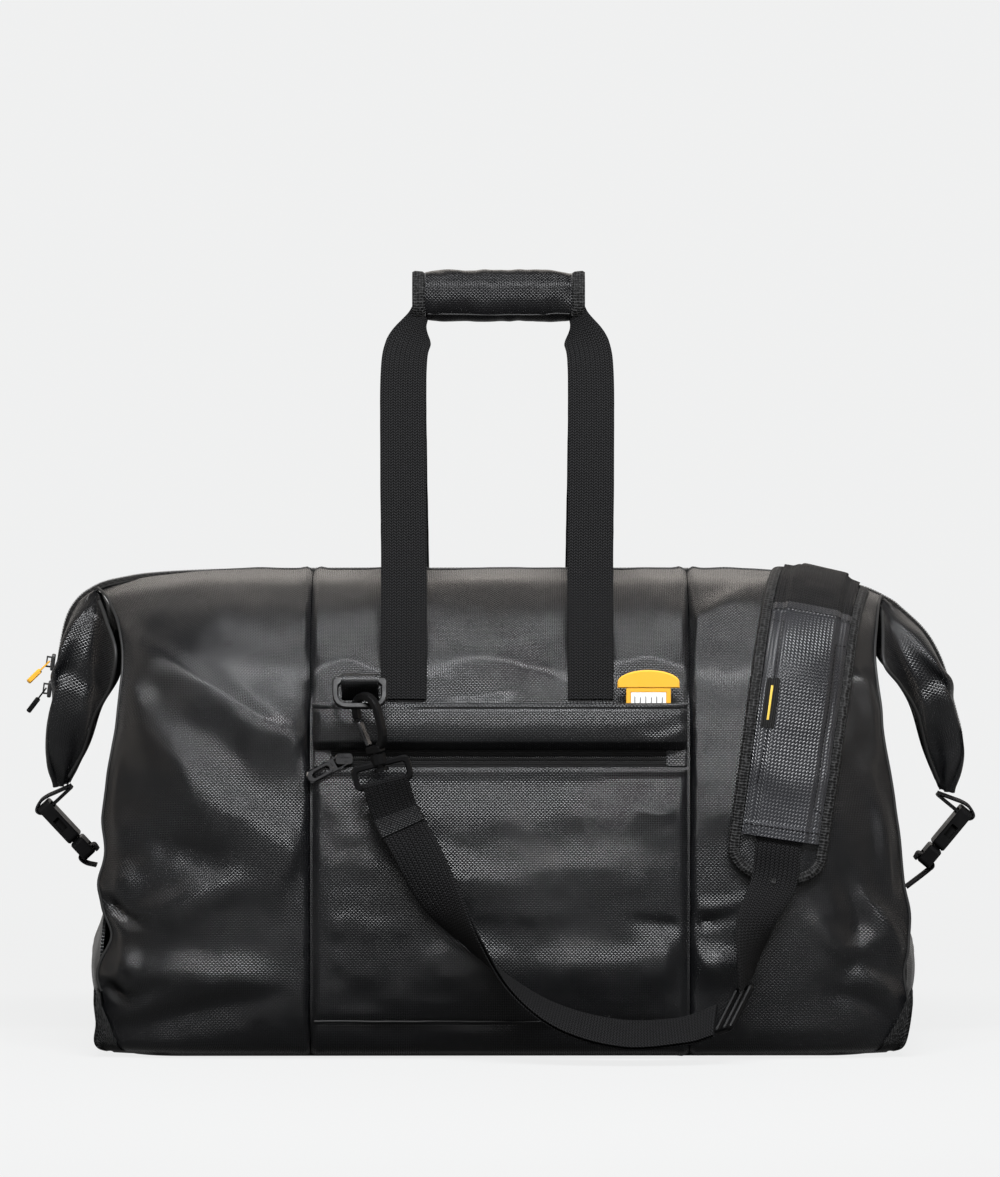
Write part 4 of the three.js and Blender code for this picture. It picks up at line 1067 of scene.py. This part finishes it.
def grip():
    """The padded wrap round the webbing: two sewn ends, a lengthwise flap, and cloth drawn in between."""
    half, bind = GRIP["length"] / 2, 9.0
    angle = np.linspace(0, 2 * math.pi, 96, endpoint=False)
    s = np.linspace(-half + bind + 0.2, half - bind - 0.2, 90)
    A, S = np.meshgrid(angle, s, indexing="ij")
    across = np.abs(S) / (half - bind)
    swell = 1.075 + 0.03 * (1 - across**2) - 0.04 * smooth(across, 0.9, 1.0)
    c, sn = np.cos(A), np.sin(A)
    # Flatter above than below, with a flap edge low on the front.
    r = swell * (1 + 0.015 * np.cos(2 * A))
    d = 0.7 * rough(A * 9, S, 14, 81) + 0.35 * rough(A * 9, S, 6, 83)
    d += 0.9 * np.cos(S / 5.1 + 2 * np.sin(A * 2)) * smooth(across, 0.35, 0.95) * 0.55
    flap = (A - FLAP) * 16 + flap_wander(S)
    d -= 1.5 * smooth(flap, -0.5, 0.5) * (1 - smooth(flap, 30, 50))
    p = np.empty(A.shape + (3,))
    p[..., 0] = GRIP["x"] + S
    p[..., 1] = (GRIP["depth"] / 2 * r + d) * c
    p[..., 2] = GRIP["z"] + (GRIP["height"] / 2 * r + d) * sn + 0.6 * (1 - across**2)
    inner = p.copy()
    inner[..., 1] *= 0.82
    inner[..., 2] = GRIP["z"] + (p[..., 2] - GRIP["z"]) * 0.86
    obj = shell("grip_cloth", p, 1.5, TARP_GRIP, closed_u=True, inner=inner)
    place(obj, "front_handle", "tarpaulin", "grip_wrap")
    for name, side in (("left", -1), ("right", 1)):
        s = np.linspace(0, 1, 16)
        A, S = np.meshgrid(angle, s, indexing="ij")
        x = GRIP["x"] + side * (half - bind + S * bind)
        swell = 1.06 * (1 - 0.05 * smooth(np.abs(S - 0.5), 0.3, 0.5)) + 0.02 * np.sin(A * 7 + S * 3)
        y, z = GRIP["depth"] / 2 * swell * np.cos(A), GRIP["z"] + GRIP["height"] / 2 * swell * np.sin(A)
        p = np.stack([x, y, z], -1)
        inner = p.copy()
        inner[..., 1] *= 0.86
        inner[..., 2] = GRIP["z"] + (p[..., 2] - GRIP["z"]) * 0.88
        if side < 0:
            p, inner = p[:, ::-1], inner[:, ::-1]
        obj = shell(f"grip_mesh_{name}", p, 1, BINDING, closed_u=True, inner=inner)
        place(obj, "front_handle", "binding_mesh", f"grip_binding_{name}")
    # The flap's cut edge, a thin line in a lighter colour: a painted highlight where it catches the light low on the
    # front.
    s = np.linspace(-half + bind + 2, half - bind - 2, 120)
    a = FLAP - flap_wander(s) / 16
    r = 1.085 + 0.03 * (1 - (s / (half - bind)) ** 2)
    y, z = (GRIP["depth"] / 2 * r) * np.cos(a), GRIP["z"] + (GRIP["height"] / 2 * r) * np.sin(a) + 0.5
    place(tube("grip_flap_edge", np.stack([GRIP["x"] + s, y, z], -1), 0.55, EDGE_HIGHLIGHT), "front_handle", "tarpaulin")


grip()


# ---- shoulder strap ----
FRONT_STRAP = [
    ((-79.6, -165.8, 197), (0.97, 0, 0.24)),
    ((-72, -163.5, 173.5), (0.93, 0.05, 0.36)),
    ((-58, -162, 148), (0.87, 0.05, 0.48)),
    ((-41, -163, 117), (0.72, -0.45, 0.5)),
    ((-19, -166, 86), (0.35, -0.9, 0.15)),
    ((9, -168, 55), (-0.05, -0.97, -0.15)),
    ((44, -169, 32), (-0.12, -0.9, -0.4)),
    ((86, -169, 21.5), (-0.05, -0.87, -0.5)),
    ((126, -167, 24), (0.05, -0.88, -0.47)),
    ((149, -164, 31), (-0.1, -0.8, -0.58)),
]
PAD = {"width": 70, "foam": 7, "from": 0.155, "to": 0.475}
PAD_LENGTH = 0.32 * GIRTH
COVER_FROM, COVER_TO = 0.113, 0.735  # where the pad's cover starts and ends, as shares of the pad
COVER_TOP = (COVER_TO - COVER_FROM) * PAD_LENGTH  # the cover's own length


def front_straps():
    """The strap's outer layer, and the inner layer a little behind it. Returns the inner layer's stations."""
    obj = ribbon("strap_front_outer_web", FRONT_STRAP, WEB, WEB_T, WEBBING, nv=260, wave=0.6, seed=91)
    place(obj, "bag", "webbing", "strap_front_outer")
    points = np.array([p for p, _ in FRONT_STRAP], float)
    behind = []
    for k, (_, w) in enumerate(FRONT_STRAP):
        following, prior = points[min(k + 1, len(points) - 1)], points[max(k - 1, 0)]
        normal = np.cross(unit(np.array(w, float)), unit(following - prior))
        behind.append((points[k] + normal * (-2.4 if k else -7.6), w))
    obj = ribbon("strap_front_inner_web", behind, WEB, WEB_T, WEBBING, nv=260, wave=0.6, seed=97)
    place(obj, "bag", "webbing", "strap_front_inner")
    return behind


OUTER_FACE = front_straps()


def pad_point(u, v, off):
    u, v = np.broadcast_arrays(np.asarray(u, float), np.asarray(v, float))
    width = (u - 0.5) * PAD["width"]
    x = 189 + 37 * v + width * 0.985
    share = PAD["from"] + (PAD["to"] - PAD["from"]) * v - width * 0.16 / GIRTH
    return skin(x, share, off)


def main_strap():
    def on_pad(v, off):
        a, b = pad_point(0.27, v, off), pad_point(0.73, v, off)
        return (tuple((a + b) / 2), tuple(a - b))

    def over(x, share, off):
        a, b = skin(x - WEB / 2, share, off), skin(x + WEB / 2, share, off)
        return (tuple((a + b) / 2), tuple(a - b))

    stations = [((171, -161.5, 56), (-0.35, -0.88, -0.4)), ((173, -162, 74), (-0.55, -0.82, -0.15)),
                ((178, -161, 100), (-0.88, -0.45, 0.05))]
    stations += [on_pad(k / 12, PAD["foam"] + 3.1) for k in range(13)]
    stations += [over(230, 0.52, 8), over(229, 0.58, 7), over(226, 0.66, 7), over(220, 0.74, 8)]
    stations += [((204, 156, 120), (-0.85, 0.3, 0.4)), ((180, 164, 76), (-0.35, 0.85, 0.4)),
                 ((146, 167, 60), (0.1, 0.95, 0.2)), ((116, 166, 82), (0.35, 0.85, -0.3)),
                 ((96, 164, 122), (0.75, 0.55, -0.2)), ((84, 163.5, 164), (0.95, 0.15, -0.2)),
                 ((79.6, 165.6, 196), (0.97, 0, -0.24))]
    obj = ribbon("shoulder_strap_web", stations, WEB, WEB_T, WEBBING, nv=620, wave=0.5, seed=103)
    place(obj, "bag", "webbing", "shoulder_strap")
    return stations


STRAP = main_strap()


def pad_body():
    """Foam in tarpaulin with rounded ends. Returns its outline as points across and along the pad."""
    nu, nv = 44, 210
    U, Vv = grid_of(0, 1, 0, 1, nu, nv)
    # The outline narrows over the last 20 mm at the foot and 9 mm at the top.
    foot, top = np.clip(Vv * PAD_LENGTH / 20, 0, 1), np.clip((1 - Vv) * PAD_LENGTH / 9, 0, 1)
    narrow = np.sqrt(np.clip(1 - (1 - foot) ** 2, 0.16, 1)) * np.sqrt(np.clip(1 - (1 - top) ** 2, 0.25, 1))
    across = 0.5 + (U - 0.5) * 0.93 * narrow
    w = np.abs(2 * U - 1)
    crown = 1 - w ** 6
    ends = smooth(foot, 0, 0.5) * smooth(top, 0, 0.5)
    high = 1 + 3.2 + 3.6 * crown * ends - bell(w, 0.72, 0.05, 0.5) * ends
    high += 0.3 * rough(U * 70, Vv * PAD_LENGTH, 16, 111) * crown
    inner = pad_point(across, Vv, 1.2 + 0.9 * (1 - crown))
    obj = shell("pad_body", pad_point(across, Vv, high), 1, TARP, inner=inner)
    place(obj, "bag", "padding", "shoulder_pad")
    left, top, right, foot = (np.stack([across, Vv], -1)[k] for k in (
        np.s_[0, :], np.s_[1:-1, -1], np.s_[-1, ::-1], np.s_[-2:0:-1, 0]))
    return np.concatenate([left, top, right, foot])


def pad_binding(outline):
    """A folded strip of knitted mesh round the pad's outline."""
    line = pad_point(outline[:, 0], outline[:, 1], np.full(len(outline), 4.4))
    run = run_along(line)
    even = np.linspace(0, run[-1], 420, endpoint=False)
    line = at_run(line, run, even)
    for _ in range(4):
        line = (np.roll(line, 1, 0) + 2 * line + np.roll(line, -1, 0)) / 4
    along = unit(np.roll(line, -1, 0) - np.roll(line, 1, 0))
    centre = pad_point(np.full(len(line), 0.5), np.interp(even, run, outline[:, 1]), np.full(len(line), 4.4))
    inward = centre - line
    inward = unit(inward - along * (inward * along).sum(1, keepdims=True))
    face = np.cross(along, inward)
    face *= np.sign((face * np.array([0, -1, 0.4])).sum(1))[:, None]
    sides, m = 16, len(line)
    turn = 2 * math.pi * np.arange(sides) / sides
    cos, sin = np.cos(turn), np.sin(turn)
    wide = 4.6 * np.sign(cos) * np.abs(cos) ** 0.8 + 2.7
    tall = 4.0 * np.sign(sin) * np.abs(sin) ** 0.9
    points = (line[None] + inward[None] * wide[:, None, None] + face[None] * tall[:, None, None]).reshape(-1, 3)
    a = np.arange(sides * m).reshape(sides, m)
    b = np.roll(a, -1, 0)
    faces = facing_out(points, np.stack([a, b, np.roll(b, -1, 1), np.roll(a, -1, 1)], -1).reshape(-1, 4))
    uv = np.stack(np.broadcast_arrays(np.arange(sides)[:, None] * 1.35, np.linspace(0, run[-1], m)), -1)
    obj = mesh_object("pad_binding", points, faces.tolist(), BINDING, uv.reshape(-1, 2) * MM, sharp=60)
    place(obj, "bag", "binding_mesh")


def web_swell(w, height):
    """The rise over the webbing that runs under the cover, w millimetres from the pad's middle."""
    return height * smooth(20.5 - np.abs(w), 0, 5)


def over_cover(w, run, lift=0.0):
    """Points over the pad's cover, w millimetres from its middle and run millimetres from its foot."""
    w, run = np.broadcast_arrays(np.asarray(w, float), np.asarray(run, float))
    high = PAD["foam"] + 3.3 + web_swell(w, 2.2) - 1.2 * smooth(np.abs(w), 23.5, 26.5)
    high += fold(w, run, [(-26, 46), (0, 40), (26, 44)], 13, 12, [1.2, 1.8, 1.2], 8)
    high -= fold(w, run, [(-26, 70), (4, 66), (26, 70)], 10, 12, [0.8, 1.0, 0.6], 8)
    high += 0.3 * rough(w, run, 15, 121)
    # Folded hems at both ends.
    high = high + 0.9 * (1 - smooth(run, 8.5, 9.6)) + 0.9 * smooth(run, COVER_TOP - 8.6, COVER_TOP - 7.5)
    return pad_point(0.5 + w / PAD["width"], COVER_FROM + run / PAD_LENGTH, high + lift)


def pad_cover():
    """A sewn-on cover in a heavier diagonal weave that the strap runs under, its stitches and its label."""
    half = 0.375 * PAD["width"]
    obj = shell("pad_cover_cloth", over_cover(*grid_of(-half, half, 0, COVER_TOP, 61, 180)), 1.2, TARP_PAD)
    # Above the cover a ribbed web as wide as the pad goes on over the ridge.
    A, B = grid_of(0.13, 0.87, 0.715, 0.985, 41, 60)
    w = (A - 0.5) * PAD["width"]
    over = PAD["foam"] + 2.4 + web_swell(w, 2.0) + 0.4 * rough(w, B * PAD_LENGTH, 11, 131)
    place(shell("pad_top_web", pad_point(A, B, over), 1.2, WEBBING), "bag", "webbing")
    place(obj, "bag", "tarpaulin", "pad_cover")

    # Stitches across both hems, and down each side beside the webbing: distance across, and down from the top.
    stitch, label, stripe = 0.12, 0.67, 0.84  # how high each lies over the cover
    rows = [over_cover(np.linspace(-25.5, 25.5, 60), np.full(60, run), stitch) for run in (7.0, COVER_TOP - 6.8)]
    for outline in (
        [(-25.5, 17), (-17.5, 18.5), (-18.5, 60), (-18.5, 100), (-20.5, 133)],
        [(25.5, 30), (18, 31), (19, 75), (19.5, 125), (19.5, 144), (25.5, 147)],
    ):
        outline = np.array([(w, COVER_TOP - down) for w, down in outline])
        run = run_along(outline)
        w, run = at_run(outline, run, np.linspace(0, run[-1], 160)).T
        rows.append(over_cover(w, run, stitch))
    stitches("pad_stitches", rows, length=2.5, gap=1.0, radius=0.42)
    # A small blank woven label with a plain stripe.
    w, run = grid_of(-23.5, -14.6, COVER_TOP - 62, COVER_TOP - 95, 12, 40)
    place(shell("pad_label", over_cover(w, run, label)[::-1], 0.5, TAPE), "bag", "webbing")
    w, run = grid_of(-20.0, -18.6, COVER_TOP - 67, COVER_TOP - 90, 5, 30)
    place(shell("pad_label_stripe", over_cover(w, run, stripe)[::-1], 0.3, YELLOW_THREAD), "bag", "yellow_plastic")


pad_binding(pad_body())
pad_cover()


# ---- sewn strap ends, ring tabs and the buckles' webbing ----
def patch_at(name, stations, v0, v1, lift, side=1):
    """A strip of tarpaulin sewn across the folded end of the webbing, on the side of its normal, 1, or behind, -1."""
    width = WEB + 1.2
    v = np.linspace(v0, v1, 24)
    path, ways, normal = stations_at(stations, v)
    u = np.linspace(-1, 1, 30)
    hug = lift * side * (1 - 0.8 * smooth(np.abs(u), 0.965, 1))
    outer = path[None] + ways[None] * (u[:, None, None] * width / 2) + normal[None] * hug[:, None, None]
    obj = shell(name, outer if side > 0 else outer[::-1], 0.8, TARP)
    return place(obj, "bag", "tarpaulin")


def small_webs():
    tabs = [(-134.2, 252.5), (-143.4, 263.3), (-149.4, 268.4), (-154.4, 269.2), (-157.6, 265.4), (-155, 261),
            (-150, 259.4), (-144, 256.4), (-136.4, 250.6)]
    for face, fore in (("front", 1), ("back", -1)):
        stations = [((fore * -97, fore * y, z), (fore, 0, 0)) for y, z in tabs]
        obj = ribbon(f"{face}_tab_cloth", stations, 26, 1.2, TARP, nv=90)
        place(obj, "bag", "tarpaulin", f"{face}_ring_tab")
    # Each buckle: its corner's x and z, its slope, and how far its anchor web reaches.
    buckles = {"left": (-324, 168.5, 47, 58), "right": (331, 164.5, 50.5, 70)}
    for name, (x0, z0, slope, reach) in buckles.items():
        side = -1 if x0 < 0 else 1
        angle = math.radians(slope if side < 0 else 180 - slope)
        c, s = math.cos(angle), math.sin(angle)

        def world(x, z):
            z *= -side
            return (x0 + x * c + z * s, 0.0, z0 - x * s + z * c)

        def web(kind, points, thick, nv):
            stations = [(world(x, z), (0, 1, 0)) for x, z in points]
            return ribbon(f"{name}_{kind}_loop", stations, 26, thick, WEBBING, nv, nu=11)

        anchor = [(50.6, 6.2), (45.6, 6.4), (44.5, 0), (45.6, -6.4), (51.5, -6.2), (reach, -2)]
        place(web("anchor", anchor, 2.0, 70), "bag", "webbing", f"{name}_anchor_web")
        tether = [(4.2, 23), (0.4, 12), (-1.6, 6), (-2.2, 0), (0.4, -6), (4.4, -5), (5.2, 0), (5.4, 6), (5.4, 23)]
        obj = web("tether", tether, 2.2, 90)
        start, end = world(4, 14.5), world(1.5, 6)
        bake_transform(obj)
        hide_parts(f"{name}_tether_web")


small_webs()
STRAP_OUT = -1  # the strap's outer face is on the other side of its frame
patch_at("strap_patch_front", OUTER_FACE, 0.105, 0.155, lift=1.7, side=STRAP_OUT)
patch_at("strap_patch_rear", STRAP, 0.966, 0.985, lift=1.9)


# ---- materials of the CAD nodes that stay, and their softened edges ----
def finish_nodes():
    named = {
        "base_board": BASE, "lining": TAPE,
        "upper_pull": YELLOW, "lower_pull": PLASTIC, "tag_frame": YELLOW, "tag_card": CARD,
        "pocket_slider": CHROME, "pocket_pull": CHROME, "upper_slider": PLATED, "lower_slider": PLATED,
        "front_gate": CHROME, "back_gate": CHROME, "strap_adjuster": PLASTIC,
    }
    for name in ("left", "right"):
        named[f"{name}_buckle_socket"] = named[f"{name}_buckle_prong"] = PLASTIC
    for name in ("front", "back"):
        for part in ("ring", "hook", "swivel_frame"):
            named[f"{name}_{part}"] = PLASTIC
    for name, material in named.items():
        obj = frame["nodes"][name]
        if obj.material_slots:
            for s in obj.material_slots:
                s.material = material
        else:
            obj.data.materials.append(material)
        if name not in ("base_board", "lining", "tag_card"):
            bevel = obj.modifiers.new("soft_edges", "BEVEL")
            bevel.width, bevel.segments = 0.00035, 2
            bevel.limit_method, bevel.angle_limit = "ANGLE", math.radians(35)
            bevel.harden_normals = False
            bevel.use_clamp_overlap = True


finish_nodes()


def tag_marks():
    """Plain ticks on the tag's card."""
    points, faces = [], []
    for k in range(6):
        x = 103 - 9.5 + k * 3.8
        top = 253.4 - (k % 2) * 0.6
        a = len(points)
        for y in (-140.66, -140.58):
            points += [(x - 0.35, y, 242), (x + 0.35, y, 242), (x + 0.35, y, top), (x - 0.35, y, top)]
        faces += [(a, a + 1, a + 2, a + 3), (a + 7, a + 6, a + 5, a + 4)]
        faces += [(a + i, a + 4 + i, a + 4 + (i + 1) % 4, a + (i + 1) % 4) for i in range(4)]
    obj = mesh_object("tag_ticks", points, faces, INK)
    place(obj, "tag", "card")


tag_marks()


# ---- studio ----
def area(name, where, target, width, height, power, colour=(1, 1, 1)):
    light = bpy.data.lights.new(name, "AREA")
    light.shape, light.size, light.size_y, light.energy, light.color = "RECTANGLE", width, height, power, colour
    obj = bpy.data.objects.new(name, light)
    obj.location = where
    obj.rotation_euler = (Vector(target) - Vector(where)).to_track_quat("-Z", "Y").to_euler()
    scene.collection.objects.link(obj)
    return obj


PAPER = (0.868, 0.872, 0.872)


def backdrop():
    """The room is dim in front of the bag and a bright sweep of paper behind it. The camera sees plain paper."""
    world = bpy.data.worlds.new("studio")
    scene.world = world
    world.use_nodes = True
    k = Nodes(world)
    k.tree.nodes.clear()
    split = k.node("ShaderNodeSeparateXYZ")
    k.link(k.node("ShaderNodeTexCoord").outputs["Generated"], split.inputs[0])
    depth = k.ramp(split.outputs["Y"], -0.1, 0.85, 0, 1, "SMOOTHSTEP")
    around = k.node("ShaderNodeBackground")
    k.link(k.mix(depth, (0.028, 0.028, 0.03), (0.5, 0.48, 0.46)), around.inputs["Color"])
    seen = k.shader("ShaderNodeBackground", PAPER)
    k.link(k.by_eye(around.outputs[0], seen.outputs[0]), k.node("ShaderNodeOutputWorld").inputs[0])
    scene.view_settings.view_transform = "Standard"
    scene.view_settings.look = "None"


def floor_material():
    """Paper that takes the bag's shadow near it and is plain further off."""
    floor, bsdf = new_material("paper", (0.05, 0.05, 0.05), 0.9, specular=0.0)
    bsdf.inputs["Emission Color"].default_value = (*PAPER, 1)
    bsdf.inputs["Emission Strength"].default_value = 0.93
    k = Nodes(floor)
    far = k.node("ShaderNodeVectorMath", operation="LENGTH")
    k.link(k.place_vector(), far.inputs[0])
    away = far.outputs["Value"]
    plain = k.shader("ShaderNodeEmission", PAPER)
    seen = k.mix_shader(k.ramp(away, 0.4, 1.3, 0, 1, "SMOOTHSTEP"), bsdf.outputs[0], plain.outputs[0])
    # The bag sees a dimmer floor than the camera, darkest near the bag: painted shade in the floor's glow, so that its
    # lower half stays dark.
    dim = k.shader("ShaderNodeEmission", (0.40, 0.40, 0.40))
    k.link(k.ramp(away, 0.18, 0.55, 0.22, 1.0), dim.inputs["Strength"])
    k.link(k.by_eye(dim.outputs[0], seen), k.tree.nodes["Material Output"].inputs["Surface"])
    return floor


def studio():
    backdrop()
    mesh = bpy.data.meshes.new("floor")
    mesh.from_pydata([(-9, -9, 0), (9, -9, 0), (9, 9, 0), (-9, 9, 0)], [], [(0, 1, 2, 3)])
    mesh.materials.append(floor_material())
    obj = bpy.data.objects.new("floor", mesh)
    obj.location = (0, 0, -0.0005)
    scene.collection.objects.link(obj)

    area("key", (0.1, -1.5, 2.1), (0, -0.1, 0.2), 1.8, 0.42, 108, (0.97, 0.98, 1))
    area("front_strip", (0, -2.3, 1.25), (0, -0.15, 0.2), 2.2, 0.4, 16)
    area("left_strip", (-2.3, -0.1, 0.8), (-0.2, 0, 0.2), 0.5, 1.4, 6, (1, 0.9, 0.8))
    area("right_strip", (2.3, -0.1, 0.8), (0.2, 0, 0.2), 0.5, 1.4, 6, (1, 0.9, 0.8))
    area("back_top", (0, 2.0, 1.5), (0, 0.1, 0.3), 2.2, 0.8, 9, (1, 0.92, 0.84))


studio()
